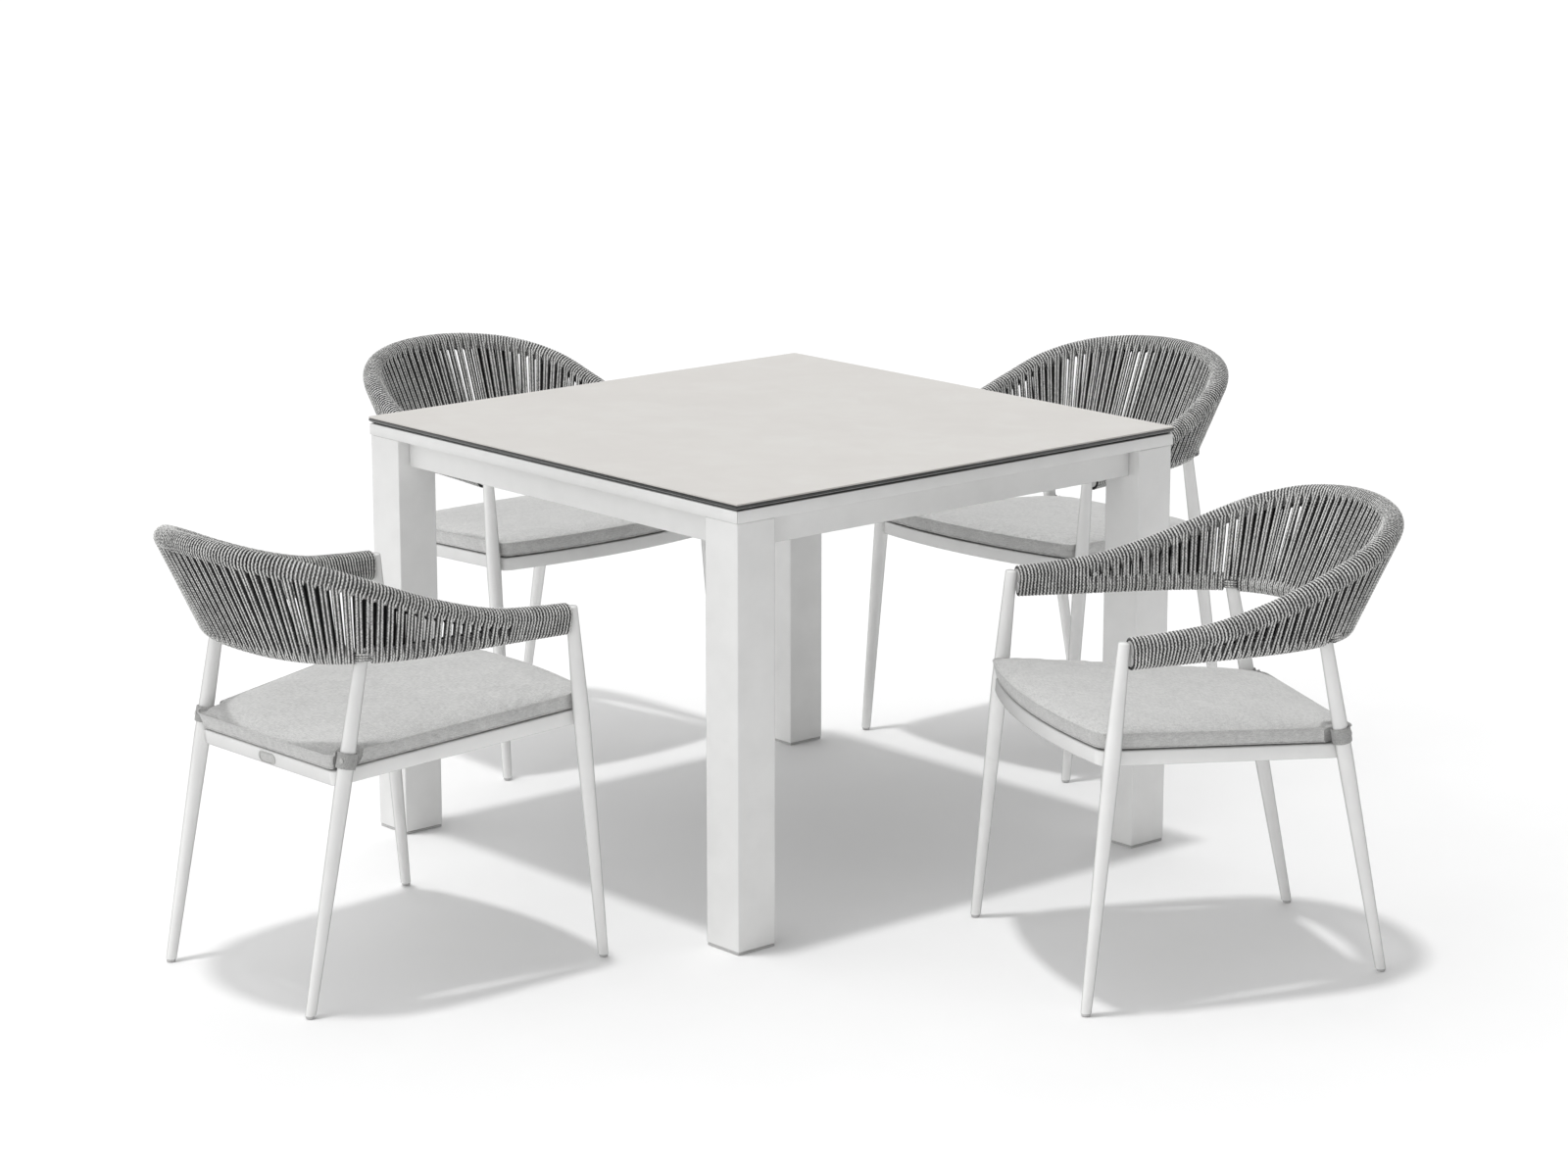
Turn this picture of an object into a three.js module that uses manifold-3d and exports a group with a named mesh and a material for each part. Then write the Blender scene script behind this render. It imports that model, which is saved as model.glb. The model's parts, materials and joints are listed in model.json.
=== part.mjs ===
// Patio dining set: a square ceramic-topped table and four rope-backed armchairs.
// Millimetres, +Z up. The set stands on the floor at z = 0, and the origin is the middle of
// the floor space that it takes up. Each chair is built in its own frame: +Y is the way its
// sitter faces, +X is the sitter's right, and its origin is the middle of its four feet.

import * as THREE from 'three';
import { mergeVertices } from 'three/addons/utils/BufferGeometryUtils.js';
import Module from 'manifold-3d';

const wasm = await Module();
wasm.setup();

// ---------------------------------------------------------------- driving dimensions

const GAP = 0.3;                    // left between pieces that touch

// Table
const TABLE_LENGTH = 1000;          // along X
const TABLE_WIDTH = 1000;           // along Y
const TABLE_HEIGHT = 750;
const CERAMIC_THICKNESS = 3;
const GLASS_THICKNESS = 9;
const GLASS_UNDERCUT = 6.5;         // how far the glass edge slopes in towards its underside
const RIM_INSET = 1.5;              // from the edge of the top
const RIM_HEIGHT = 20;
const RIM_WIDTH = 40;
const BRACE_WIDTH = 50;
const LEG_SIZE = 80;
const LEG_WALL = 2;
const LEG_INSET = 1.5;              // from the rim's outer face
const APRON_HEIGHT = 48;
const APRON_THICKNESS = 20;
const APRON_WALL = 2;
const APRON_INSET = 24;             // from the leg's outer face
const FOOT_PAD_THICKNESS = 4;
const FOOT_PAD_INSET = 1;

// Chair legs
const FRONT_FOOT_SPREAD = 526;
const REAR_FOOT_SPREAD = 380;
const FOOT_DEPTH = 532;             // between the front and rear feet
const FRONT_LEG_TOP_SPREAD = 516;
const FRONT_LEG_TOP_Y = 212;
const REAR_LEG_TOP_SPREAD = 380;
const REAR_LEG_TOP_Y = -150;
const FOOT_RADIUS = 8.5;
const FRONT_LEG_RADIUS = 13.5;      // at its thickest, level with the seat
const FRONT_LEG_TOP_RADIUS = 9.5;
const REAR_LEG_RADIUS = 13;
const REAR_LEG_TOP_RADIUS = 10.5;

// Chair back and arms
const ARM_HEIGHT = 581.5;           // centre of the top rail where it meets the front leg
const BACK_HEIGHT = 724;            // centre of the top rail at the middle of the back
const BACK_Y = -316;                // middle of the back, top rail
const LOWER_RAIL_HEIGHT = 563;
const LOWER_BACK_Y = -237;          // middle of the back, lower rail
const TOP_RAIL_RADIUS = 12.5;
const LOWER_RAIL_RADIUS = 10;
const ROPE_DIAMETER = 5;            // wound round both rails, so also the wall of the back
const ROPE_CLEARANCE = 1.5;         // between the rope and the rails and legs inside it
const LEG_TOP_ABOVE_RAIL = 12;      // how far the front leg's cap stands over the rail's centre
const LEG_CAP_HEIGHT = 3;           // of the front leg's sloped cap
const LEG_CAP_SHARE = 0.7;          // its flat top, as a share of the leg's top radius

// Chair seat
const SEAT_FRONT_HEIGHT = 417;      // top of the frame, level with the front legs
const SEAT_REAR_HEIGHT = 381;
const SEAT_FRAME_HEIGHT = 24;
const SEAT_BAR_WIDTH = 20;
const SEAT_FRONT_REACH = 13.5;      // from the front legs' centres to the frame's front corners
const SEAT_REAR_REACH = 14;
const SEAT_FRONT_BOW = 34;
const SLAT_COUNT = 6;
const SLAT_WIDTH = 38;
const SLAT_THICKNESS = 4;
const SLAT_DROP = 2;                // below the top of the frame
const SLAT_MARGIN = 0.6;            // space before the first and after the last, in slat pitches

// Cushion and its straps
const CUSHION_THICKNESS = 42;
const CUSHION_INSET = 1;            // from the seat frame's outer face
const CUSHION_EDGE = 8;             // roundness of its edges
const STRAP_HEIGHT = 25;
const STRAP_THICKNESS = 2;
const STRAP_SLACK = 0.6;            // between the strap and the leg
const STRAP_ABOVE_SEAT = 6;
const NOTCH_CLEARANCE = 3;          // round the legs and straps, where the cushion lifts past them

// Where the chairs stand. along: from the middle of the table's side, to the right of a
// person who faces that side. gap: from the table's edge to the middle of the chair's front
// feet, square to that edge. turn: from facing the table, anticlockwise seen from above.
const CHAIRS = [
  { name: 'front_chair', side: 0, along: 90, gap: 169, turn: 1.4 },
  { name: 'right_chair', side: 90, along: -172, gap: 337, turn: 65.2 },
  { name: 'back_chair', side: 180, along: 149, gap: 123, turn: 3 },
  { name: 'left_chair', side: 270, along: -122, gap: 86, turn: 0.1 },
];

// ---------------------------------------------------------------- colours

const white = () => new THREE.MeshStandardMaterial({ color: 0xf1f1f0, roughness: 0.45, metalness: 0 });
const ceramic = () => new THREE.MeshStandardMaterial({ color: 0xd9d8d5, roughness: 0.5, metalness: 0 });
const glass = () => new THREE.MeshStandardMaterial({ color: 0x3d3d3c, roughness: 0.2, metalness: 0 });
const rope = () => new THREE.MeshStandardMaterial({ color: 0xa3a2a0, roughness: 0.9, metalness: 0 });
const fabric = () => new THREE.MeshStandardMaterial({ color: 0xc6c5c3, roughness: 0.95, metalness: 0 });
const nylon = () => new THREE.MeshStandardMaterial({ color: 0xc4c4c3, roughness: 0.6, metalness: 0 });

// ---------------------------------------------------------------- helpers

const V = (x, y, z) => new THREE.Vector3(x, y, z);
const mirrored = (p) => V(-p.x, p.y, p.z);
const UP = V(0, 0, 1);

function mesh(name, geometry, material) {
  const m = new THREE.Mesh(geometry, material);
  m.name = name;
  return m;
}

function merged(geometry) {
  const g = geometry.clone();
  for (const key of Object.keys(g.attributes)) {
    if (key !== 'position') g.deleteAttribute(key);
  }
  return mergeVertices(g, 1e-4);
}

function solid(geometry) {
  const g = merged(geometry);
  return new wasm.Manifold(new wasm.Mesh({
    numProp: 3,
    vertProperties: new Float32Array(g.attributes.position.array),
    triVerts: new Uint32Array(g.index.array),
  }));
}

function fromSolid(body) {
  const out = body.getMesh();
  const g = new THREE.BufferGeometry();
  g.setAttribute('position', new THREE.BufferAttribute(new Float32Array(out.vertProperties), 3));
  g.setIndex(new THREE.BufferAttribute(new Uint32Array(out.triVerts), 1));
  g.computeVertexNormals();
  return g;
}

function cut(geometry, ...tools) {
  let body = solid(geometry);
  for (const tool of tools) body = body.subtract(solid(tool));
  return fromSolid(body);
}

function join(geometry, ...others) {
  let body = solid(geometry);
  for (const other of others) body = body.add(solid(other));
  return fromSolid(body);
}

// A box from its two opposite corners.
function box(low, high) {
  const size = high.clone().sub(low);
  const g = new THREE.BoxGeometry(size.x, size.y, size.z);
  const middle = low.clone().add(high).multiplyScalar(0.5);
  return g.translate(middle.x, middle.y, middle.z);
}

// A turned piece whose profile is [radius, distance along the line from a to b].
function turned(a, b, profile, sides) {
  const points = profile.map(([r, h]) => new THREE.Vector2(r, h));
  const g = new THREE.LatheGeometry(points, sides);
  g.rotateX(Math.PI / 2);
  const direction = b.clone().sub(a).normalize();
  g.applyQuaternion(new THREE.Quaternion().setFromUnitVectors(UP, direction));
  return g.translate(a.x, a.y, a.z);
}

// A round bar along a curve.
function bar(curve, radius, steps, sides) {
  const section = new THREE.Shape();
  section.absarc(0, 0, radius, 0, 2 * Math.PI, false);
  return new THREE.ExtrudeGeometry(section, { extrudePath: curve, steps, curveSegments: sides / 2 });
}

// A skin over a row of rings of points, closed at both ends.
function skin(rings) {
  const n = rings[0].length;
  const positions = rings.flat().flatMap((p) => [p.x, p.y, p.z]);
  const index = [];
  for (let i = 0; i + 1 < rings.length; i += 1) {
    for (let k = 0; k < n; k += 1) {
      const a = i * n + k;
      const b = i * n + ((k + 1) % n);
      index.push(a, b, b + n, a, b + n, a + n);
    }
  }
  for (const [start, turn] of [[0, true], [(rings.length - 1) * n, false]]) {
    const middle = positions.length / 3;
    const centre = V(0, 0, 0);
    for (let k = 0; k < n; k += 1) {
      centre.add(V(...positions.slice(3 * (start + k), 3 * (start + k) + 3)).divideScalar(n));
    }
    positions.push(centre.x, centre.y, centre.z);
    for (let k = 0; k < n; k += 1) {
      const a = start + k;
      const b = start + ((k + 1) % n);
      index.push(...(turn ? [b, a, middle] : [a, b, middle]));
    }
  }
  const g = new THREE.BufferGeometry();
  g.setAttribute('position', new THREE.BufferAttribute(new Float32Array(positions), 3));
  g.setIndex(index);
  return g;
}

// ---------------------------------------------------------------- table

// A box section, open at both ends of the axis it runs along.
function boxSection(low, high, wall, axis) {
  const inner = V(wall, wall, wall).setComponent(axis, -1);
  return cut(box(low, high), box(low.clone().add(inner), high.clone().sub(inner)));
}

function table() {
  const group = new THREE.Group();
  const glassTop = TABLE_HEIGHT - CERAMIC_THICKNESS - GAP;
  const rimTop = glassTop - GLASS_THICKNESS - GAP;
  const rimBottom = rimTop - RIM_HEIGHT;
  const legTop = rimBottom - GAP;
  const halfX = TABLE_LENGTH / 2;
  const halfY = TABLE_WIDTH / 2;

  group.add(mesh('table_top_ceramic',
    box(V(-halfX, -halfY, TABLE_HEIGHT - CERAMIC_THICKNESS), V(halfX, halfY, TABLE_HEIGHT)), ceramic()));

  const pane = box(V(-halfX, -halfY, glassTop - GLASS_THICKNESS), V(halfX, halfY, glassTop));
  const corners = pane.attributes.position;
  for (let i = 0; i < corners.count; i += 1) {
    if (corners.getZ(i) < glassTop - GLASS_THICKNESS / 2) {
      corners.setX(i, corners.getX(i) - Math.sign(corners.getX(i)) * GLASS_UNDERCUT);
      corners.setY(i, corners.getY(i) - Math.sign(corners.getY(i)) * GLASS_UNDERCUT);
    }
  }
  group.add(mesh('table_top_glass', pane, glass()));

  const rimX = halfX - RIM_INSET;
  const rimY = halfY - RIM_INSET;
  const inX = rimX - RIM_WIDTH;
  const inY = rimY - RIM_WIDTH;
  group.add(mesh('table_top_rim', cut(
    box(V(-rimX, -rimY, rimBottom), V(rimX, rimY, rimTop)),
    box(V(-inX, -inY, rimBottom - 1), V(inX, inY, rimTop + 1)),
  ), white()));

  const braceX = inX - GAP;
  const braceY = inY - GAP;
  group.add(mesh('table_centre_brace', join(
    box(V(-braceX, -BRACE_WIDTH / 2, rimBottom), V(braceX, BRACE_WIDTH / 2, rimTop)),
    box(V(-BRACE_WIDTH / 2, -braceY, rimBottom), V(BRACE_WIDTH / 2, braceY, rimTop)),
  ), white()));

  const outX = rimX - LEG_INSET;
  const outY = rimY - LEG_INSET;
  for (const [ends, sy] of [['front', -1], ['back', 1]]) {
    for (const [hand, sx] of [['left', -1], ['right', 1]]) {
      const centre = V(sx * (outX - LEG_SIZE / 2), sy * (outY - LEG_SIZE / 2), 0);
      const half = V(LEG_SIZE / 2, LEG_SIZE / 2, 0);
      const padHalf = V(LEG_SIZE / 2 - FOOT_PAD_INSET, LEG_SIZE / 2 - FOOT_PAD_INSET, 0);
      group.add(mesh(`table_leg_${ends}_${hand}`, boxSection(
        centre.clone().sub(half).setZ(FOOT_PAD_THICKNESS + GAP),
        centre.clone().add(half).setZ(legTop),
        LEG_WALL, 2,
      ), white()));
      group.add(mesh(`table_foot_${ends}_${hand}`, box(
        centre.clone().sub(padHalf),
        centre.clone().add(padHalf).setZ(FOOT_PAD_THICKNESS),
      ), nylon()));
    }
    const outer = outY - APRON_INSET;
    const reach = outX - LEG_SIZE - GAP;
    group.add(mesh(`table_apron_${ends}`, boxSection(
      V(-reach, sy > 0 ? outer - APRON_THICKNESS : -outer, legTop - APRON_HEIGHT),
      V(reach, sy > 0 ? outer : -outer + APRON_THICKNESS, legTop),
      APRON_WALL, 0,
    ), white()));
  }
  for (const [hand, sx] of [['left', -1], ['right', 1]]) {
    const outer = outX - APRON_INSET;
    const reach = outY - LEG_SIZE - GAP;
    group.add(mesh(`table_apron_${hand}`, boxSection(
      V(sx > 0 ? outer - APRON_THICKNESS : -outer, -reach, legTop - APRON_HEIGHT),
      V(sx > 0 ? outer : -outer + APRON_THICKNESS, reach, legTop),
      APRON_WALL, 1,
    ), white()));
  }
  return group;
}

// ---------------------------------------------------------------- chair: shared lines

const FRONT_FOOT = V(FRONT_FOOT_SPREAD / 2, FOOT_DEPTH / 2, 0);
const REAR_FOOT = V(REAR_FOOT_SPREAD / 2, -FOOT_DEPTH / 2, 0);
const FRONT_TOP = V(FRONT_LEG_TOP_SPREAD / 2, FRONT_LEG_TOP_Y, ARM_HEIGHT + LEG_TOP_ABOVE_RAIL);
const REAR_TOP = V(REAR_LEG_TOP_SPREAD / 2, REAR_LEG_TOP_Y, LOWER_RAIL_HEIGHT);

// The point at height z on the line from a leg's foot to its top.
const onLeg = (foot, top, z) => foot.clone().lerp(top, z / top.z);

// Both rails start just behind the front leg, and their middles are at the middle of the back.
const ARM_START = V(FRONT_TOP.x, FRONT_TOP.y - FRONT_LEG_TOP_RADIUS - GAP, ARM_HEIGHT);
const LOWER_START = V(FRONT_TOP.x, ARM_START.y, LOWER_RAIL_HEIGHT);

// A rail from the right arm round the back to the left arm. Each bend is
// [share of the arm's half width, share of the way back, share of the rise to the back].
function railCurve(start, backY, backZ, bends) {
  const right = [start];
  for (const [wide, back, rise = 0] of bends) {
    right.push(V(
      start.x * wide,
      THREE.MathUtils.lerp(start.y, backY, back),
      THREE.MathUtils.lerp(start.z, backZ, rise),
    ));
  }
  const left = right.slice().reverse().map(mirrored);
  return new THREE.CatmullRomCurve3([...right, V(0, backY, backZ), ...left], false, 'centripetal');
}

const TOP_BENDS = [
  [0.995, 0.12, 0.03], [0.985, 0.27, 0.09], [0.972, 0.43, 0.24],
  [0.942, 0.60, 0.46], [0.862, 0.76, 0.70], [0.68, 0.885, 0.87], [0.38, 0.972, 0.965],
];
const LOWER_BENDS = [
  [0.96, 0.20], [0.925, 0.42], [0.87, 0.63], [0.77, 0.79], [0.60, 0.91], [0.33, 0.98],
];
const topCurve = railCurve(ARM_START, BACK_Y, BACK_HEIGHT, TOP_BENDS);
const lowerCurve = railCurve(LOWER_START, LOWER_BACK_Y, LOWER_RAIL_HEIGHT, LOWER_BENDS);

const SEAT_SLOPE = Math.atan2(
  SEAT_FRONT_HEIGHT - SEAT_REAR_HEIGHT,
  onLeg(FRONT_FOOT, FRONT_TOP, SEAT_FRONT_HEIGHT).y - onLeg(REAR_FOOT, REAR_TOP, SEAT_REAR_HEIGHT).y,
);

// ---------------------------------------------------------------- chair: pieces

const LEG_SIDES = 10;
const RAIL_SIDES = 6;
const RAIL_STEPS = 26;
const STRAP_SIDES = 12;
const BOW_STEPS = 8;
const OVERRUN = 6;                  // how far a leg is drawn below the floor before it is cut level

function leg(foot, top, profile) {
  const direction = top.clone().sub(foot).normalize();
  const start = foot.clone().addScaledVector(direction, -OVERRUN);
  const shape = profile.map(([r, h]) => [r, h + OVERRUN]);
  const body = turned(start, top, [[0, 0], [profile[0][0], 0], ...shape], LEG_SIDES);
  const below = box(
    V(foot.x - FRONT_FOOT_SPREAD, foot.y - FOOT_DEPTH, -2 * OVERRUN),
    V(foot.x + FRONT_FOOT_SPREAD, foot.y + FOOT_DEPTH, 0),
  );
  return cut(body, below);
}

function frontLegProfile(grow) {
  const length = FRONT_TOP.distanceTo(FRONT_FOOT);
  return [
    [FOOT_RADIUS + grow, 0],
    [FRONT_LEG_RADIUS + grow, SEAT_FRONT_HEIGHT - SEAT_FRAME_HEIGHT],
    [FRONT_LEG_RADIUS + grow, SEAT_FRONT_HEIGHT],
    [FRONT_LEG_TOP_RADIUS + grow, length - LEG_CAP_HEIGHT],
    [FRONT_LEG_TOP_RADIUS * LEG_CAP_SHARE + grow, length],
    [0, length + grow],
  ];
}

function rearLegProfile(grow) {
  const length = REAR_TOP.distanceTo(REAR_FOOT) - LOWER_RAIL_RADIUS / 2;
  return [
    [FOOT_RADIUS + grow, 0],
    [REAR_LEG_RADIUS + grow, SEAT_REAR_HEIGHT - SEAT_FRAME_HEIGHT],
    [REAR_LEG_RADIUS + grow, SEAT_REAR_HEIGHT],
    [REAR_LEG_TOP_RADIUS + grow, length + grow],
    [0, length + grow],
  ];
}

function side(point, sign) {
  return sign > 0 ? point.clone() : mirrored(point);
}

// The four legs, grown by a clearance, as tools that cut what they pass.
function grownLegs(clearance) {
  return [1, -1].flatMap((sign) => [
    leg(side(FRONT_FOOT, sign), side(FRONT_TOP, sign), frontLegProfile(clearance)),
    leg(side(REAR_FOOT, sign), side(REAR_TOP, sign), rearLegProfile(clearance)),
  ]);
}

// The outline of the seat frame, seen from above, grown outwards by a margin.
function seatOutline(margin) {
  const rear = onLeg(REAR_FOOT, REAR_TOP, SEAT_REAR_HEIGHT);
  const front = onLeg(FRONT_FOOT, FRONT_TOP, SEAT_FRONT_HEIGHT);
  const rearX = rear.x - REAR_LEG_RADIUS - GAP + margin;
  const rearY = rear.y - SEAT_REAR_REACH - margin;
  const frontX = front.x - FRONT_LEG_RADIUS - GAP + margin;
  const frontY = front.y + SEAT_FRONT_REACH + margin;
  const outline = new THREE.Shape();
  outline.moveTo(-rearX, rearY);
  outline.lineTo(rearX, rearY);
  outline.lineTo(frontX, frontY);
  outline.quadraticCurveTo(0, frontY + 2 * SEAT_FRONT_BOW, -frontX, frontY);
  outline.closePath();
  return outline;
}

// Tilts a shape drawn at z = 0 into the plane of the seat frame's top, raised square to it.
function onSeat(geometry, raise) {
  const front = onLeg(FRONT_FOOT, FRONT_TOP, SEAT_FRONT_HEIGHT);
  geometry.translate(0, -front.y, raise);
  geometry.rotateX(SEAT_SLOPE);
  return geometry.translate(0, front.y, SEAT_FRONT_HEIGHT);
}

function seatFrame() {
  const outline = seatOutline(0);
  outline.holes.push(new THREE.Path(seatOutline(-SEAT_BAR_WIDTH).getPoints(BOW_STEPS)));
  const ring = new THREE.ExtrudeGeometry(outline, {
    depth: SEAT_FRAME_HEIGHT, bevelEnabled: false, curveSegments: BOW_STEPS,
  });
  const slats = [];
  const rearY = onLeg(REAR_FOOT, REAR_TOP, SEAT_REAR_HEIGHT).y;
  const frontY = onLeg(FRONT_FOOT, FRONT_TOP, SEAT_FRONT_HEIGHT).y;
  const rearHalf = onLeg(REAR_FOOT, REAR_TOP, SEAT_REAR_HEIGHT).x - REAR_LEG_RADIUS;
  const frontHalf = onLeg(FRONT_FOOT, FRONT_TOP, SEAT_FRONT_HEIGHT).x - FRONT_LEG_RADIUS;
  for (let i = 0; i < SLAT_COUNT; i += 1) {
    const share = (i + SLAT_MARGIN) / (SLAT_COUNT - 1 + 2 * SLAT_MARGIN);
    const y = THREE.MathUtils.lerp(rearY, frontY, share);
    const half = THREE.MathUtils.lerp(rearHalf, frontHalf, share) - SEAT_BAR_WIDTH / 2;
    slats.push(box(
      V(-half, y - SLAT_WIDTH / 2, SEAT_FRAME_HEIGHT - SLAT_THICKNESS - SLAT_DROP),
      V(half, y + SLAT_WIDTH / 2, SEAT_FRAME_HEIGHT - SLAT_DROP),
    ));
  }
  return cut(onSeat(join(ring, ...slats), -SEAT_FRAME_HEIGHT), ...grownLegs(GAP));
}

function cushion() {
  const body = new THREE.ExtrudeGeometry(seatOutline(-CUSHION_INSET - CUSHION_EDGE), {
    depth: CUSHION_THICKNESS - 2 * CUSHION_EDGE,
    bevelThickness: CUSHION_EDGE,
    bevelSize: CUSHION_EDGE,
    bevelSegments: 2,
    curveSegments: BOW_STEPS,
  });
  onSeat(body.translate(0, 0, CUSHION_EDGE), GAP);
  const strapRadius = REAR_LEG_RADIUS + STRAP_SLACK + STRAP_THICKNESS;
  const notches = [];
  for (const sign of [1, -1]) {
    for (const [foot, top, radius] of [
      [FRONT_FOOT, FRONT_TOP, FRONT_LEG_RADIUS], [REAR_FOOT, REAR_TOP, strapRadius],
    ]) {
      const low = onLeg(side(foot, sign), side(top, sign), SEAT_REAR_HEIGHT / 2);
      const high = side(top, sign);
      const r = radius + NOTCH_CLEARANCE;
      const length = high.distanceTo(low);
      notches.push(turned(low, high, [[0, 0], [r, 0], [r, length], [0, length]], STRAP_SIDES));
    }
  }
  return cut(body, ...notches);
}

function strap(sign) {
  const foot = side(REAR_FOOT, sign);
  const top = side(REAR_TOP, sign);
  const low = onLeg(foot, top, SEAT_REAR_HEIGHT + STRAP_ABOVE_SEAT);
  const inner = REAR_LEG_RADIUS + STRAP_SLACK;
  const outer = inner + STRAP_THICKNESS;
  return turned(low, top, [
    [inner, 0], [outer, 0], [outer, STRAP_HEIGHT], [inner, STRAP_HEIGHT], [inner, 0],
  ], STRAP_SIDES);
}

// A belt round both rails, swept from one front leg to the other: its section is two arcs
// round the rails and the straight runs between them. grow is its reach from the rails.
const TOP_ARC_STEPS = 7;
const LOWER_ARC_STEPS = 6;

function belt(grow, endReach) {
  const topRadius = TOP_RAIL_RADIUS + grow;
  const lowerRadius = LOWER_RAIL_RADIUS + grow;
  const rings = [];
  for (let i = 0; i <= RAIL_STEPS; i += 1) {
    const u = i / RAIL_STEPS;
    const past = (i === RAIL_STEPS ? endReach : 0) - (i === 0 ? endReach : 0);
    const topAlong = topCurve.getTangentAt(u);
    const lowerAlong = lowerCurve.getTangentAt(u);
    const top = topCurve.getPointAt(u).addScaledVector(topAlong, past);
    const low = lowerCurve.getPointAt(u).addScaledVector(lowerAlong, past);
    const between = low.clone().sub(top);
    const slant = Math.acos((topRadius - lowerRadius) / between.length());
    const ring = [];
    const arc = (centre, along, radius, from, to, steps) => {
      const down = between.clone().addScaledVector(along, -between.dot(along)).normalize();
      const out = new THREE.Vector3().crossVectors(along, down);
      for (let k = 0; k <= steps; k += 1) {
        const a = THREE.MathUtils.lerp(from, to, k / steps);
        ring.push(centre.clone()
          .addScaledVector(down, radius * Math.cos(a))
          .addScaledVector(out, radius * Math.sin(a)));
      }
    };
    arc(top, topAlong, topRadius, slant, 2 * Math.PI - slant, TOP_ARC_STEPS);
    arc(low, lowerAlong, lowerRadius, -slant, slant, LOWER_ARC_STEPS);
    rings.push(ring);
  }
  return skin(rings);
}

// The rope back: the belt of turns round both rails, hollow between them.
function ropeBack() {
  return cut(
    belt(ROPE_DIAMETER, -ROPE_CLEARANCE),
    belt(ROPE_CLEARANCE, ROPE_DIAMETER),
    ...grownLegs(ROPE_CLEARANCE),
  );
}

function chair(name) {
  const group = new THREE.Group();
  const rail = (curve, grow) => bar(curve, grow, RAIL_STEPS, RAIL_SIDES);
  const top = rail(topCurve, TOP_RAIL_RADIUS);
  const low = rail(lowerCurve, LOWER_RAIL_RADIUS);
  const grownTop = rail(topCurve, TOP_RAIL_RADIUS + GAP);
  const grownLow = rail(lowerCurve, LOWER_RAIL_RADIUS + GAP);
  for (const [hand, sign] of [['left', -1], ['right', 1]]) {
    group.add(mesh(`${name}_front_leg_${hand}`,
      leg(side(FRONT_FOOT, sign), side(FRONT_TOP, sign), frontLegProfile(0)), white()));
    group.add(mesh(`${name}_rear_leg_${hand}`,
      cut(leg(side(REAR_FOOT, sign), side(REAR_TOP, sign), rearLegProfile(0)), grownLow), white()));
    group.add(mesh(`${name}_cushion_strap_${hand}`, strap(sign), fabric()));
  }
  group.add(mesh(`${name}_seat_frame`, seatFrame(), white()));
  group.add(mesh(`${name}_top_rail`, merged(top), white()));
  group.add(mesh(`${name}_lower_rail`, cut(low, grownTop), white()));
  group.add(mesh(`${name}_rope_back`, ropeBack(), rope()));
  group.add(mesh(`${name}_cushion`, cushion(), fabric()));
  return group;
}

// Stands a chair at its side of the table.
function stand(group, { side: sideAngle, along, gap, turn }) {
  const facing = new THREE.Matrix4().makeRotationZ(THREE.MathUtils.degToRad(sideAngle));
  const half = sideAngle % 180 === 0 ? TABLE_WIDTH / 2 : TABLE_LENGTH / 2;
  const turned = new THREE.Matrix4().makeRotationZ(THREE.MathUtils.degToRad(turn));
  const frontFeet = V(0, FOOT_DEPTH / 2, 0).applyMatrix4(turned);
  const place = V(along, -half - gap, 0).sub(frontFeet).applyMatrix4(facing);
  group.position.copy(place);
  group.rotation.z = THREE.MathUtils.degToRad(sideAngle + turn);
  return group;
}

// ---------------------------------------------------------------- the set

const set = new THREE.Group();
set.add(table());
for (const chairPlace of CHAIRS) set.add(stand(chair(chairPlace.name), chairPlace));

// The origin is the middle of the floor space that the whole set takes up.
set.updateMatrixWorld(true);
const extent = new THREE.Box3().setFromObject(set, true);
const middle = extent.getCenter(V(0, 0, 0));
set.position.set(-middle.x, -middle.y, 0);

export default set;
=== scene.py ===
"""Patio dining set: a square ceramic-topped table and four rope-backed armchairs.

Metres, +Z up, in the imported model's own frame. Each chair's parts are made once in the
chair's frame (+Y the way its sitter faces, +X the sitter's right, origin between its four
feet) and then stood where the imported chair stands.
"""

import json
import math
import random

import bmesh
import bpy
import numpy as np
from mathutils import Euler, Matrix, Vector


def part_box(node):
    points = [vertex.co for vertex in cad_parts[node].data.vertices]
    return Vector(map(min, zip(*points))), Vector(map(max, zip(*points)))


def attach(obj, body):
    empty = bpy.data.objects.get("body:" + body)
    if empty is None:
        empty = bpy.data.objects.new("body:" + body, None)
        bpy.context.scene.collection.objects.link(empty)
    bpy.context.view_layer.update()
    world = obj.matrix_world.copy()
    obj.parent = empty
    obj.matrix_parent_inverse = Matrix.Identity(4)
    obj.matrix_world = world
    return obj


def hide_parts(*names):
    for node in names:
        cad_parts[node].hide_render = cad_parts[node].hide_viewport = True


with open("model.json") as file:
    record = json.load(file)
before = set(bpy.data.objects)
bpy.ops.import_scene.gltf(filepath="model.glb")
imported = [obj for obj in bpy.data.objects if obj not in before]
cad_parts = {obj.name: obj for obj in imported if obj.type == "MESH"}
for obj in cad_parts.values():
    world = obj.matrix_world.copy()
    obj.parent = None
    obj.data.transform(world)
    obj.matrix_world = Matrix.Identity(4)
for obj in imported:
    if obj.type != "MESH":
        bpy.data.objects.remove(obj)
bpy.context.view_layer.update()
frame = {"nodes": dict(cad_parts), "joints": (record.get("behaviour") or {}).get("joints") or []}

MM = 0.001
GAP = 0.3 * MM
random.seed(11)

# ---------------------------------------------------------------- sizes, as the frame has them

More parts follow.
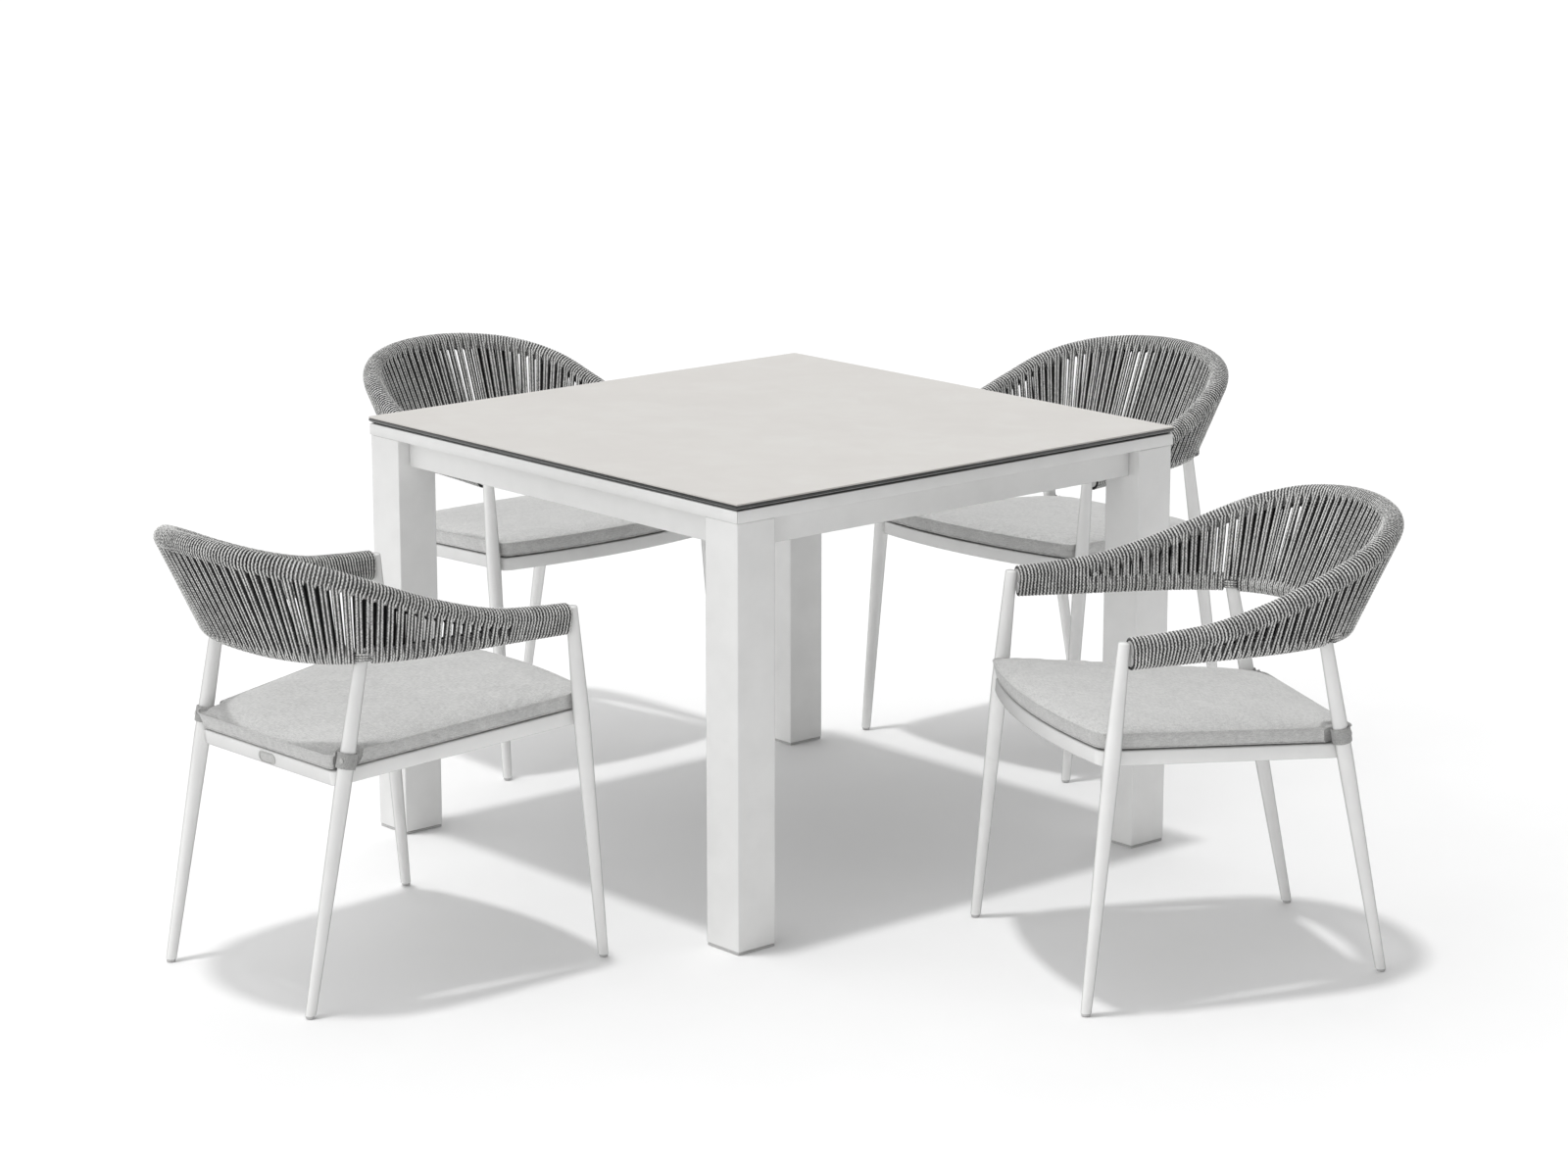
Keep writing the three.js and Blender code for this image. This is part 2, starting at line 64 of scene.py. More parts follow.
FRONT_FOOT = Vector((263, 266, 0)) * MM
REAR_FOOT = Vector((190, -266, 0)) * MM
FRONT_TOP = Vector((258, 212, 593.5)) * MM
REAR_TOP = Vector((190, -150, 563)) * MM
FOOT_RADIUS = 8.5 * MM
FRONT_LEG_RADIUS = 13.5 * MM
FRONT_LEG_TOP_RADIUS = 9.5 * MM
REAR_LEG_RADIUS = 13 * MM
REAR_LEG_TOP_RADIUS = 10.5 * MM
GLIDE_HEIGHT = 4 * MM
GLIDE_RADIUS = 7.5 * MM
FOOT_EASE = 1.2 * MM            # rounding of a leg's lower edge
DOME_HEIGHT = 3.5 * MM          # of a front leg's closed top

ARM_HEIGHT = 581.5 * MM
BACK_HEIGHT = 724 * MM
BACK_Y = -316 * MM
LOWER_RAIL_HEIGHT = 563 * MM
LOWER_BACK_Y = -237 * MM
TOP_RAIL_RADIUS = 12.5 * MM
LOWER_RAIL_RADIUS = 10 * MM

SEAT_FRONT_HEIGHT = 417 * MM
SEAT_REAR_HEIGHT = 381 * MM
SEAT_FRAME_HEIGHT = 24 * MM
SEAT_BAR_WIDTH = 20 * MM
SEAT_FRONT_REACH = 13.5 * MM
SEAT_REAR_REACH = 14 * MM
SEAT_FRONT_BOW = 34 * MM
SLAT_COUNT = 6
SLAT_MARGIN = 0.6               # bars that would fit between an end bar and the frame
SLAT_WIDTH = 38 * MM
SLAT_THICKNESS = 4 * MM
SLAT_DROP = 2 * MM              # below the seat frame's top

STRAP_HEIGHT = 25 * MM
STRAP_ABOVE_SEAT = 6 * MM
STRAP_SLACK = 0.6 * MM
STRAP_THICKNESS = 2 * MM

ROPE_THICKNESS = 5 * MM         # from a rail's face out to the rope's far side, as the solid allows
ROPE_PITCH = 6 * MM             # from one turn to the next along the top rail
ROPE_WIDTH = 5.9 * MM           # the rope as drawn, all but touching the next turn
SLEEVE_LENGTH = 112 * MM        # of each arm, where every turn goes round both rails
ROPE_LEAN = 0.7 * MM            # how far a strand leans on each face, as a winding does
STRAND_SPREAD = 0.8 * MM        # how far a pair of strands spreads to even out their spacing
ROPE_WOBBLE = 0.3 * MM          # how unevenly the turns lean
ROPE_OPEN_END = -0.3            # angle on the lower rail's face where a turn stops by a rear leg
LEG_GAP = 12 * MM               # to each side of a rear leg, where no turn passes under the rail
BRIDGE_STEPS = 8                # spans of a short run that covers the ends of those turns
BRIDGE_TUCK = 4 * MM            # how far its ends dip behind the turns
BRIDGE_APART = 0.8              # from one such run to the next, as a share of the rope
SLIGHT_LEAN = 0.3               # share of the lean left in the sleeve and round a single rail

CUSHION_OVERHANG = 7 * MM       # past the seat frame
CUSHION_LIFT = 40 * MM          # the travel of the cushion's joint
FRONT_LEG_CLEARANCE = 2.5 * MM  # kept between the cover and a front leg
REAR_LEG_CLEARANCE = 5 * MM     # kept between the cover and a rear leg's strap
BOTTOM_SEAM = 5 * MM            # above the seat frame
UNDERCUT = 0.03                 # how much smaller the bottom sheet is than the top one, as a share
TOP_SEAM = 29 * MM
CROWN = 15 * MM                 # how far the stuffing pushes the cover out
PIPING_RADIUS = 1.3 * MM
STITCH_PITCH = 4 * MM
STITCH_INSET = 4.5 * MM         # from the top seam, towards the cushion's middle
STITCH_RISE = 1.5 * MM          # above the top seam

# ---------------------------------------------------------------- camera

ceramic_low, ceramic_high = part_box("table_top_ceramic")
table_centre = Vector(((ceramic_low.x + ceramic_high.x) / 2, (ceramic_low.y + ceramic_high.y) / 2, 0))

CAMERA_PLACE = Vector((5.2662, -4.5674, 2.0744))   # from the middle of the table's floor space
CAMERA_AZIMUTH = 0.8525
CAMERA_PITCH = 0.2289
CAMERA_LENS = 93.0                                  # on a 36 mm sensor

camera_data = bpy.data.cameras.new("camera")
camera_data.lens = CAMERA_LENS
camera_data.sensor_width = 36.0
camera_data.clip_end = 200.0
camera = bpy.data.objects.new("camera", camera_data)
camera.location = table_centre + CAMERA_PLACE
camera.rotation_euler = (math.pi / 2 - CAMERA_PITCH, 0.0, CAMERA_AZIMUTH)
bpy.context.scene.collection.objects.link(camera)
bpy.context.scene.camera = camera

# ---------------------------------------------------------------- nodes


def linear(hex_colour):
    """A #RRGGBB colour as linear RGBA."""
    parts = [int(hex_colour[i:i + 2], 16) / 255 for i in (1, 3, 5)]
    return [c / 12.92 if c <= 0.04045 else ((c + 0.055) / 1.055) ** 2.4 for c in parts] + [1.0]


def add(tree, kind, inputs=None, **settings):
    """Adds a node; an input takes a value, or a socket to be linked."""
    made = tree.nodes.new(kind)
    for key, value in settings.items():
        setattr(made, key, value)
    for key, value in (inputs or {}).items():
        if isinstance(value, bpy.types.NodeSocket):
            tree.links.new(value, made.inputs[key])
        else:
            made.inputs[key].default_value = value
    return made


def ramp(tree, factor, stops):
    """A colour ramp from (place, hex colour) stops."""
    made = add(tree, "ShaderNodeValToRGB", {"Fac": factor})
    elements = made.color_ramp.elements
    while len(elements) < len(stops):
        elements.new(0.5)
    for element, (place, colour) in zip(elements, stops):
        element.position = place
        element.color = linear(colour)
    return made.outputs["Color"]


def new_material(name, roughness, ior=1.5, metallic=0.0):
    """A material with a bare Principled shader; returns it with its tree and its shader."""
    material = bpy.data.materials.new(name)
    material.use_nodes = True
    tree = material.node_tree
    shader = tree.nodes["Principled BSDF"]
    shader.inputs["Roughness"].default_value = roughness
    shader.inputs["IOR"].default_value = ior
    shader.inputs["Metallic"].default_value = metallic
    return material, tree, shader


def per_metre(size_in_mm):
    """The texture scale that gives features of that size."""
    return 1.0 / (size_in_mm * MM)


def object_place(tree):
    """Where a point lies, in its piece's own coordinates."""
    return add(tree, "ShaderNodeTexCoord").outputs["Object"]


def stored(tree, name, output):
    """What a mesh keeps for each point under that name."""
    return add(tree, "ShaderNodeAttribute", attribute_name=name).outputs[output]


def noise(tree, place, size_in_mm, detail=2.0, **more):
    """Noise with features of that size."""
    return add(tree, "ShaderNodeTexNoise", {
        "Vector": place, "Scale": per_metre(size_in_mm), "Detail": detail, **more}).outputs["Fac"]


def squeezed(tree, place, scale):
    """A place scaled along each axis, to draw a texture out."""
    return add(tree, "ShaderNodeMapping", {"Vector": place, "Scale": scale}).outputs["Vector"]


def maths(tree, operation, *values):
    """The result of one operation on one or two values."""
    return add(tree, "ShaderNodeMath", dict(enumerate(values)), operation=operation).outputs[0]


def ranged(tree, value, to=(0.0, 1.0), of=(0.0, 1.0)):
    """A value carried from one range to another."""
    return add(tree, "ShaderNodeMapRange", {
        "Value": value, "From Min": of[0], "From Max": of[1], "To Min": to[0], "To Max": to[1],
    }).outputs["Result"]


def bumped(tree, height, strength, depth_in_mm, under=None):
    """A surface raised by a height, over another raised surface when one is given."""
    inputs = {"Height": height, "Strength": strength, "Distance": depth_in_mm * MM}
    if under is not None:
        inputs["Normal"] = under
    return add(tree, "ShaderNodeBump", inputs).outputs["Normal"]


def finish(tree, shader, colour, roughness=None, normal=None):
    """Gives a shader its colour, and its roughness and its surface where they vary."""
    for name, socket in (("Base Color", colour), ("Roughness", roughness), ("Normal", normal)):
        if socket is not None:
            tree.links.new(socket, shader.inputs[name])


def sheen(shader, weight, roughness):
    shader.inputs["Sheen Weight"].default_value = weight
    shader.inputs["Sheen Roughness"].default_value = roughness


def powder_coat():
    # Polyester powder coat on aluminium tube, sprayed and baked: satin white, even, with a
    # faint orange peel, and painted shade that greys it where it is seen edge on. The peel is
    # really about 0.8 mm across and is drawn at 1.5 mm.
    material, tree, shader = new_material("white_polyester_powder_coat", 0.42)
    place = object_place(tree)
    film = noise(tree, place, 60, 3.0)
    colour = ramp(tree, film, [(0.3, "#F0F0EF"), (0.7, "#F6F6F5")])
    # Painted shade: the white is multiplied down to grey where the surface is seen edge on.
    edge_on_shade_mask = add(tree, "ShaderNodeLayerWeight", {"Blend": 0.5}).outputs["Facing"]
    edge = ramp(tree, edge_on_shade_mask, [(0.35, "#FFFFFF"), (0.75, "#C9C9C9"), (1.0, "#A6A6A6")])
    coat = add(tree, "ShaderNodeMixRGB", {
        "Fac": 1.0, "Color1": colour, "Color2": edge}, blend_type="MULTIPLY")
    finish(tree, shader, coat.outputs["Color"], ranged(tree, film, to=(0.38, 0.46)),
           bumped(tree, noise(tree, place, 1.5), 0.06, 0.2))
    return material


def sintered_stone():
    # Sintered porcelain slab, pressed and fired, matt: warm pale grey with soft clouds some
    # 100 mm across, a finer mottle, and a fired grit of about 1 mm.
    material, tree, shader = new_material("matt_sintered_stone", 0.5, ior=1.55)
    place = object_place(tree)
    warp = noise(tree, place, 140)
    clouds = noise(tree, place, 75, 5.0, Roughness=0.55, Distortion=0.8)
    mottle = noise(tree, place, 14, 4.0)
    total = maths(tree, "ADD", maths(tree, "ADD", clouds, warp), maths(tree, "MULTIPLY", mottle, 0.35))
    colour = ramp(tree, ranged(tree, total, of=(0.85, 1.5)), [
        (0.0, "#C5C2BE"), (0.45, "#C7C4C0"), (1.0, "#CAC8C4")])
    finish(tree, shader, colour, ranged(tree, mottle, to=(0.44, 0.58)),
           bumped(tree, noise(tree, place, 1.2, 3.0), 0.12, 0.2))
    return material


def ground_glass(name, dark, light, roughness):
    # Toughened soda-lime glass, painted charcoal behind and ground along its edge: dark,
    # glossy, with fine grinding lines some 0.7 mm apart that run along the edge.
    material, tree, shader = new_material(name, roughness, ior=1.52)
    lines = noise(tree, squeezed(tree, object_place(tree), (0.02, 0.02, 1.0)), 0.7)
    finish(tree, shader, ramp(tree, lines, [(0.3, dark), (0.7, light)]),
           normal=bumped(tree, lines, 0.15, 0.1))
    return material


def braided_rope():
    # Olefin outdoor rope, a melange yarn braided round a core: matt, light and dark grey
    # threads crossing at a slant. The threads are about 1 mm wide; the braid is drawn with a
    # repeat of 5 mm along the rope, and the yarn's colours 2.2 mm wide. The side of each turn
    # that faces out gets a painted highlight, and its hidden sides painted shade.
    material, tree, shader = new_material("braided_olefin_rope", 0.85)
    around = add(tree, "ShaderNodeSeparateXYZ", {"Vector": stored(tree, "rope_round", "Vector")}).outputs
    travel = maths(tree, "MULTIPLY", stored(tree, "rope_length", "Fac"), 2 * math.pi * per_metre(5))
    spun = maths(tree, "MULTIPLY", maths(tree, "ARCTAN2", around["Y"], around["X"]), 3.0)
    right_lay = maths(tree, "SINE", maths(tree, "ADD", travel, spun))
    left_lay = maths(tree, "SINE", maths(tree, "SUBTRACT", travel, spun))
    braid = maths(tree, "MAXIMUM", right_lay, left_lay)
    place = object_place(tree)
    yarn = noise(tree, place, 2.2, 3.0, Roughness=0.65)
    mixed = maths(tree, "ADD", yarn, maths(tree, "MULTIPLY", braid, 0.1))
    faded = maths(tree, "MULTIPLY", noise(tree, place, 30), 0.2)
    # Painted highlight and shade: lighter where a point stands proud on the rope's outer face, near black on
    # its hidden sides between turns.
    painted_crest_light_and_shade = ranged(tree, stored(tree, "rope_proud", "Fac"), to=(-0.52, 0.18), of=(0.4, 0.98))
    tone_and_painted_shade = maths(tree, "ADD", maths(tree, "ADD", mixed, faded), painted_crest_light_and_shade)
    colour = ramp(tree, tone_and_painted_shade, [
        (0.24, "#121212"), (0.44, "#434343"), (0.62, "#8C8C8B"), (0.86, "#EDEDEB")])
    sheen(shader, 0.25, 0.5)
    lay = bumped(tree, braid, 0.5, 0.4)
    finish(tree, shader, colour, normal=bumped(tree, yarn, 0.5, 0.3, under=lay))
    return material


def woven_cloth(name, dark, middle, light):
    # Solution-dyed acrylic, plain woven from melange yarn: matt, warp and weft threads of
    # light and mid grey. The threads are 0.6 mm apart; their colours are drawn 1.3 mm wide
    # and the weave's ridges 1.6 mm apart.
    material, tree, shader = new_material(name, 0.9)
    cloth = stored(tree, "chair_place", "Vector")
    warp, weft = (noise(tree, squeezed(tree, cloth, stretch), 1.3)
                  for stretch in ((0.12, 1.0, 1.0), (1.0, 0.12, 1.0)))
    crossed = maths(tree, "ADD", warp, weft)
    total = maths(tree, "ADD", crossed, maths(tree, "MULTIPLY", noise(tree, cloth, 45, 4.0), 0.3))
    colour = ramp(tree, ranged(tree, total, of=(0.75, 1.55)), [
        (0.15, dark), (0.5, middle), (0.85, light)])
    sheen(shader, 0.3, 0.45)
    parts = add(tree, "ShaderNodeSeparateXYZ", {"Vector": cloth}).outputs
    x, y, z = (maths(tree, "SINE", maths(tree, "MULTIPLY", parts[axis], 2 * math.pi * per_metre(1.6)))
               for axis in "XYZ")
    weave = bumped(tree, maths(tree, "ADD", maths(tree, "ADD", x, y), z), 0.25, 0.15)
    finish(tree, shader, colour, normal=bumped(tree, crossed, 0.35, 0.3, under=weave))
    return material


def moulded_nylon(name, dark, light):
    # Glass-filled nylon, injection moulded: dull, with a spark-eroded grain of about 0.5 mm,
    # drawn at 0.8 mm.
    material, tree, shader = new_material(name, 0.6)
    grain = noise(tree, object_place(tree), 0.8)
    finish(tree, shader, ramp(tree, grain, [(0.35, dark), (0.65, light)]),
           normal=bumped(tree, grain, 0.2, 0.1))
    return material


def brushed_steel():
    # Stainless steel sheet, brushed along its length: bright, with hairlines about 0.3 mm apart.
    material, tree, shader = new_material("brushed_stainless_steel", 0.32, metallic=1.0)
    hairs = noise(tree, squeezed(tree, stored(tree, "chair_place", "Vector"), (0.05, 1.0, 1.0)), 0.3)
    finish(tree, shader, ramp(tree, hairs, [(0.3, "#A9A9A8"), (0.7, "#CFCFCD")]),
           ranged(tree, hairs, to=(0.25, 0.42)))
    return material


def studio_paint():
    # Emulsion paint on a smooth studio floor, rolled: flat near-white, very faint roller mottle.
    material, tree, shader = new_material("studio_floor_paint", 0.95)
    mottle = noise(tree, object_place(tree), 400)
    finish(tree, shader, ramp(tree, mottle, [(0.3, "#F5F5F5"), (0.7, "#F7F7F7")]))
    shader.inputs["Specular IOR Level"].default_value = 0.0
    return material


WHITE = powder_coat()
STONE = sintered_stone()
GLASS = ground_glass("charcoal_toughened_glass", "#2E2F2F", "#414242", 0.22)
ARRIS = ground_glass("ground_glass_arris", "#7D7E7D", "#A0A1A0", 0.45)
ROPE = braided_rope()
CLOTH = woven_cloth("melange_acrylic_weave", "#B2B2B1", "#C4C4C3", "#D3D3D1")
WEBBING = woven_cloth("acrylic_webbing", "#929291", "#A6A6A5", "#BABAB8")
THREAD = woven_cloth("polyester_sewing_thread", "#C6C6C4", "#D4D4D2", "#E0E0DE")
NYLON = moulded_nylon("pale_nylon_glide", "#BEBEBD", "#CFCFCE")
STEEL = brushed_steel()
FLOOR_PAINT = studio_paint()

# ---------------------------------------------------------------- meshes

SMOOTH_ANGLE = math.radians(38)
FLAT_ANGLE = math.radians(12)    # keeps the flats of an eased box flat


def shade(mesh, material, angle=SMOOTH_ANGLE):
    """Smooth shading with sharp edges kept, and the material."""
    mesh.materials.clear()
    mesh.materials.append(material)
    mesh.polygons.foreach_set("use_smooth", [True] * len(mesh.polygons))
    mesh.set_sharp_from_angle(angle=angle)
    mesh.update()
    return mesh


def mesh_of(points, faces, material, recalculate=False):
    """A mesh from points and faces."""
    mesh = bpy.data.meshes.new("part")
    mesh.from_pydata([tuple(p) for p in points], [], [tuple(f) for f in faces])
    if recalculate:
        body = bmesh.new()
        body.from_mesh(mesh)
        bmesh.ops.remove_doubles(body, verts=body.verts, dist=1e-6)
        bmesh.ops.recalc_face_normals(body, faces=body.faces)
        body.to_mesh(mesh)
        body.free()
    return shade(mesh, material)


def loft(rings, closed_path=False):
    """Points and faces of a skin over rings of equal count, with a fan over each open end."""
    n = len(rings[0])
    points = [Vector(p) for ring in rings for p in ring]
    faces = []
    for i in range(len(rings) if closed_path else len(rings) - 1):
        first, after = i * n, (i + 1) % len(rings) * n
        for k in range(n):
            m = (k + 1) % n
            faces.append((first + k, first + m, after + m, after + k))
    if not closed_path:
        for first in (0, (len(rings) - 1) * n):
            points.append(sum((points[first + k] for k in range(n)), Vector()) / n)
            faces += [(first + k, first + (k + 1) % n, len(points) - 1) for k in range(n)]
    return points, faces


def lofted(rings, material, closed_path=False):
    points, faces = loft(rings, closed_path)
    return mesh_of(points, faces, material, recalculate=True)


def joined(meshes, material):
    """Several meshes made one."""
    body = bmesh.new()
    for mesh in meshes:
        body.from_mesh(mesh)
    whole = bpy.data.meshes.new("part")
    body.to_mesh(whole)
    body.free()
    return shade(whole, material)


def eased_box(low, high, edge, material):
    """A box with its edges rounded over."""
    body = bmesh.new()
    shift, size = Matrix.Translation((low + high) / 2), Matrix.Diagonal((*(high - low), 1))
    bmesh.ops.create_cube(body, size=1.0, matrix=shift @ size)
    bmesh.ops.bevel(body, geom=body.edges[:], offset=edge, segments=2, profile=0.5, affect="EDGES")
    mesh = bpy.data.meshes.new("part")
    body.to_mesh(mesh)
    body.free()
    return shade(mesh, material, FLAT_ANGLE)


def angles(count):
    """Angles spaced evenly round a circle."""
    return [2 * math.pi * k / count for k in range(count)]


def spun(profile, sides):
    """Rings about the upright axis through (radius, height) points."""
    return [[Vector((radius * math.cos(a), radius * math.sin(a), height)) for a in angles(sides)]
            for radius, height in profile]


def turned(a, b, profile, sides):
    """Rings about the line from a to b, through (radius, distance from a) points, and its way."""
    direction = (b - a).normalized()
    turn = direction.to_track_quat("Z", "Y").to_matrix()
    return [[a + turn @ point for point in ring] for ring in spun(profile, sides)], direction


def tube(path, radius, sides, material, closed_path=False):
    """A round bar along a path of points, with domed ends when it is open."""
    path = [Vector(p) for p in path]
    count = len(path)
    rings = []
    side = None
    for i, point in enumerate(path):
        before = path[i - 1] if (i or closed_path) else path[0]
        after = path[(i + 1) % count] if (i + 1 < count or closed_path) else path[-1]
        along = (after - before).normalized()
        if side is None:
            side = along.cross(Vector((0, 0, 1)))
            side = side if side.length > 0.1 else along.cross(Vector((1, 0, 0)))
        side = (side - along * side.dot(along)).normalized()
        up = along.cross(side)
        rings.append([point + (side * math.cos(a) + up * math.sin(a)) * radius for a in angles(sides)])
    return lofted(rings, material, closed_path)


def store(mesh, name, values, kind="FLOAT_VECTOR"):
    """Keeps a value for each vertex on the mesh."""
    attribute = mesh.attributes.get(name) or mesh.attributes.new(name, kind, "POINT")
    key = "vector" if kind == "FLOAT_VECTOR" else "value"
    attribute.data.foreach_set(key, np.asarray(values, np.float32).ravel())


def triples(values_of, key):
    """One vector property of every item, as rows."""
    values = np.empty(len(values_of) * 3, np.float32)
    values_of.foreach_get(key, values)
    return values.reshape(-1, 3).astype(float)


def read(mesh, name):
    return triples(mesh.attributes[name].data, "vector")


def coordinates(mesh):
    return triples(mesh.vertices, "co")


# ---------------------------------------------------------------- geometry nodes


def new_tree(name, inputs):
    """A geometry tree with a Geometry input, the named inputs and a Geometry output."""
    tree = bpy.data.node_groups.new(name, "GeometryNodeTree")
    for label, kind in (("Geometry", "NodeSocketGeometry"), *inputs, ("Material", "NodeSocketMaterial")):
        tree.interface.new_socket(label, in_out="INPUT", socket_type=kind)
    tree.interface.new_socket("Geometry", in_out="OUTPUT", socket_type="NodeSocketGeometry")
    return tree, add(tree, "NodeGroupInput").outputs


def put_out(tree, geometry, material):
    """Makes the geometry real, gives it its material and sends it out of the tree."""
    real = add(tree, "GeometryNodeRealizeInstances", {"Geometry": geometry}).outputs["Geometry"]
    painted = add(tree, "GeometryNodeSetMaterial", {"Geometry": real, "Material": material})
    add(tree, "NodeGroupOutput", {"Geometry": painted.outputs["Geometry"]})
    return tree


def rope_tree():
    """Winds rope along every line of a mesh of edges."""
    tree, given = new_tree("wound_rope", [
        ("Rope Radius", "NodeSocketFloat"), ("Sides", "NodeSocketInt")])
    lines = add(tree, "GeometryNodeMeshToCurve", {"Mesh": given["Geometry"]}).outputs["Curve"]
    circle = add(tree, "GeometryNodeCurvePrimitiveCircle", {
        "Resolution": given["Sides"], "Radius": given["Rope Radius"]}, mode="RADIUS")
    around = add(tree, "GeometryNodeStoreNamedAttribute", {
        "Geometry": circle.outputs["Curve"], "Name": "rope_round",
        "Value": add(tree, "GeometryNodeInputPosition").outputs["Position"],
    }, data_type="FLOAT_VECTOR", domain="POINT").outputs["Geometry"]
    swept = add(tree, "GeometryNodeCurveToMesh", {
        "Curve": lines, "Profile Curve": around, "Fill Caps": True})
    smooth = add(tree, "GeometryNodeSetShadeSmooth", {"Geometry": swept.outputs["Mesh"]})
    return put_out(tree, smooth.outputs["Geometry"], given["Material"])


def repeat_tree():
    """Sets a shape on every point of a mesh, turned and stretched as the point says."""
    tree, given = new_tree("repeated_shape", [("Shape", "NodeSocketObject")])
    shape = add(tree, "GeometryNodeObjectInfo", {"Object": given["Shape"]}).outputs["Geometry"]
    turn, stretch = (
        add(tree, "GeometryNodeInputNamedAttribute", {"Name": name}, data_type="FLOAT_VECTOR")
        for name in ("turn", "stretch"))
    points = add(tree, "GeometryNodeInstanceOnPoints", {
        "Points": given["Geometry"], "Instance": shape,
        "Rotation": turn.outputs["Attribute"], "Scale": stretch.outputs["Attribute"]})
    return put_out(tree, points.outputs["Instances"], given["Material"])


def evaluated(mesh, prepare):
    """The plain mesh that a mesh becomes under the modifiers that prepare gives its holder."""
    holder = bpy.data.objects.new("holder", mesh)
    bpy.context.scene.collection.objects.link(holder)
    prepare(holder.modifiers)
    bpy.context.view_layer.update()
    seen = holder.evaluated_get(bpy.context.evaluated_depsgraph_get())
    made = bpy.data.meshes.new_from_object(seen)
    holder.modifiers.clear()
    bpy.data.objects.remove(holder)
    return made


def grown(mesh, tree, values):
    """The plain mesh that a geometry tree makes of a mesh."""
    def prepare(modifiers):
        modifier = modifiers.new("nodes", "NODES")
        modifier.node_group = tree
        for item in tree.interface.items_tree:
            if item.in_out == "INPUT" and item.name in values:
                modifier[item.identifier] = values[item.name]

    return evaluated(mesh, prepare)


def repeated(shape, places, material):
    """One mesh of a shape set at (place, turn, stretch) entries."""
    points = bpy.data.meshes.new("points")
    points.from_pydata([tuple(p) for p, _, _ in places], [], [])
    store(points, "turn", [tuple(t) for _, t, _ in places])
    store(points, "stretch", [tuple(s) for _, _, s in places])
    template = bpy.data.objects.new("template", shape)
    bpy.context.scene.collection.objects.link(template)
    made = grown(points, REPEAT_TREE, {"Shape": template, "Material": material})
    bpy.data.objects.remove(template)
    return shade(made, material)


ROPE_TREE = rope_tree()
REPEAT_TREE = repeat_tree()

# ---------------------------------------------------------------- chair lines


def on_leg(foot, top, z):
    return foot.lerp(top, z / top.z)


def mirrored(point, sign):
    return Vector((point.x * sign, point.y, point.z))


ARM_START = Vector((FRONT_TOP.x, FRONT_TOP.y - FRONT_LEG_TOP_RADIUS - GAP, ARM_HEIGHT))
LOWER_START = Vector((FRONT_TOP.x, ARM_START.y, LOWER_RAIL_HEIGHT))

# Each bend: share of the arm's half width, share of the way back, share of the rise.
TOP_BENDS = [
    (0.995, 0.12, 0.03), (0.985, 0.27, 0.09), (0.972, 0.43, 0.24),
    (0.942, 0.60, 0.46), (0.862, 0.76, 0.70), (0.68, 0.885, 0.87), (0.38, 0.972, 0.965),
]
LOWER_BENDS = [
    (0.96, 0.20, 0), (0.925, 0.42, 0), (0.87, 0.63, 0),
    (0.77, 0.79, 0), (0.60, 0.91, 0), (0.33, 0.98, 0),
]
SPAN_STEPS = 24                 # points from one bend to the next


class Rail:
    """A rail's centre line: a smooth curve through its bends, measured by its length."""

    def __init__(self, start, back_y, back_z, bends):
        right = [np.array(start)]
        for wide, back, rise in bends:
            right.append(np.array((
                start.x * wide,
                start.y + (back_y - start.y) * back,
                start.z + (back_z - start.z) * rise,
            )))
        left = [p * (-1, 1, 1) for p in reversed(right)]
        knots = right + [np.array((0, back_y, back_z))] + left
        knots = [2 * knots[0] - knots[1], *knots, 2 * knots[-1] - knots[-2]]
        points = []
        for before, a, b, after in zip(knots, knots[1:], knots[2:], knots[3:]):
            g, h, i = (math.sqrt(np.linalg.norm(q - p)) for p, q in ((before, a), (a, b), (b, after)))
            leave = ((a - before) / g - (b - before) / (g + h) + (b - a) / h) * h
            reach = ((b - a) / h - (after - a) / (h + i) + (after - b) / i) * h
            for t in np.linspace(0, 1, SPAN_STEPS, endpoint=False):
                points.append(
                    a + leave * t + (3 * (b - a) - 2 * leave - reach) * t ** 2
                    + (2 * (a - b) + leave + reach) * t ** 3)
        points.append(knots[-2])
        self.points = np.array(points)
        steps = np.linalg.norm(np.diff(self.points, axis=0), axis=1)
        self.reach = np.concatenate([[0], np.cumsum(steps)])
        self.length = self.reach[-1]

    def at(self, s):
        return Vector([float(np.interp(s, self.reach, self.points[:, k])) for k in range(3)])

    def along(self, s):
        step = 2 * MM
        return (self.at(min(s + step, self.length)) - self.at(max(s - step, 0))).normalized()

    def nearest(self, point):
        return float(self.reach[np.argmin(np.linalg.norm(self.points - np.array(point), axis=1))])


TOP_RAIL = Rail(ARM_START, BACK_Y, BACK_HEIGHT, TOP_BENDS)
LOWER_RAIL = Rail(LOWER_START, LOWER_BACK_Y, LOWER_RAIL_HEIGHT, LOWER_BENDS)
REAR_LEG_STATIONS = [LOWER_RAIL.nearest(mirrored(REAR_TOP, sign)) for sign in (1, -1)]

# ---------------------------------------------------------------- chair: metal


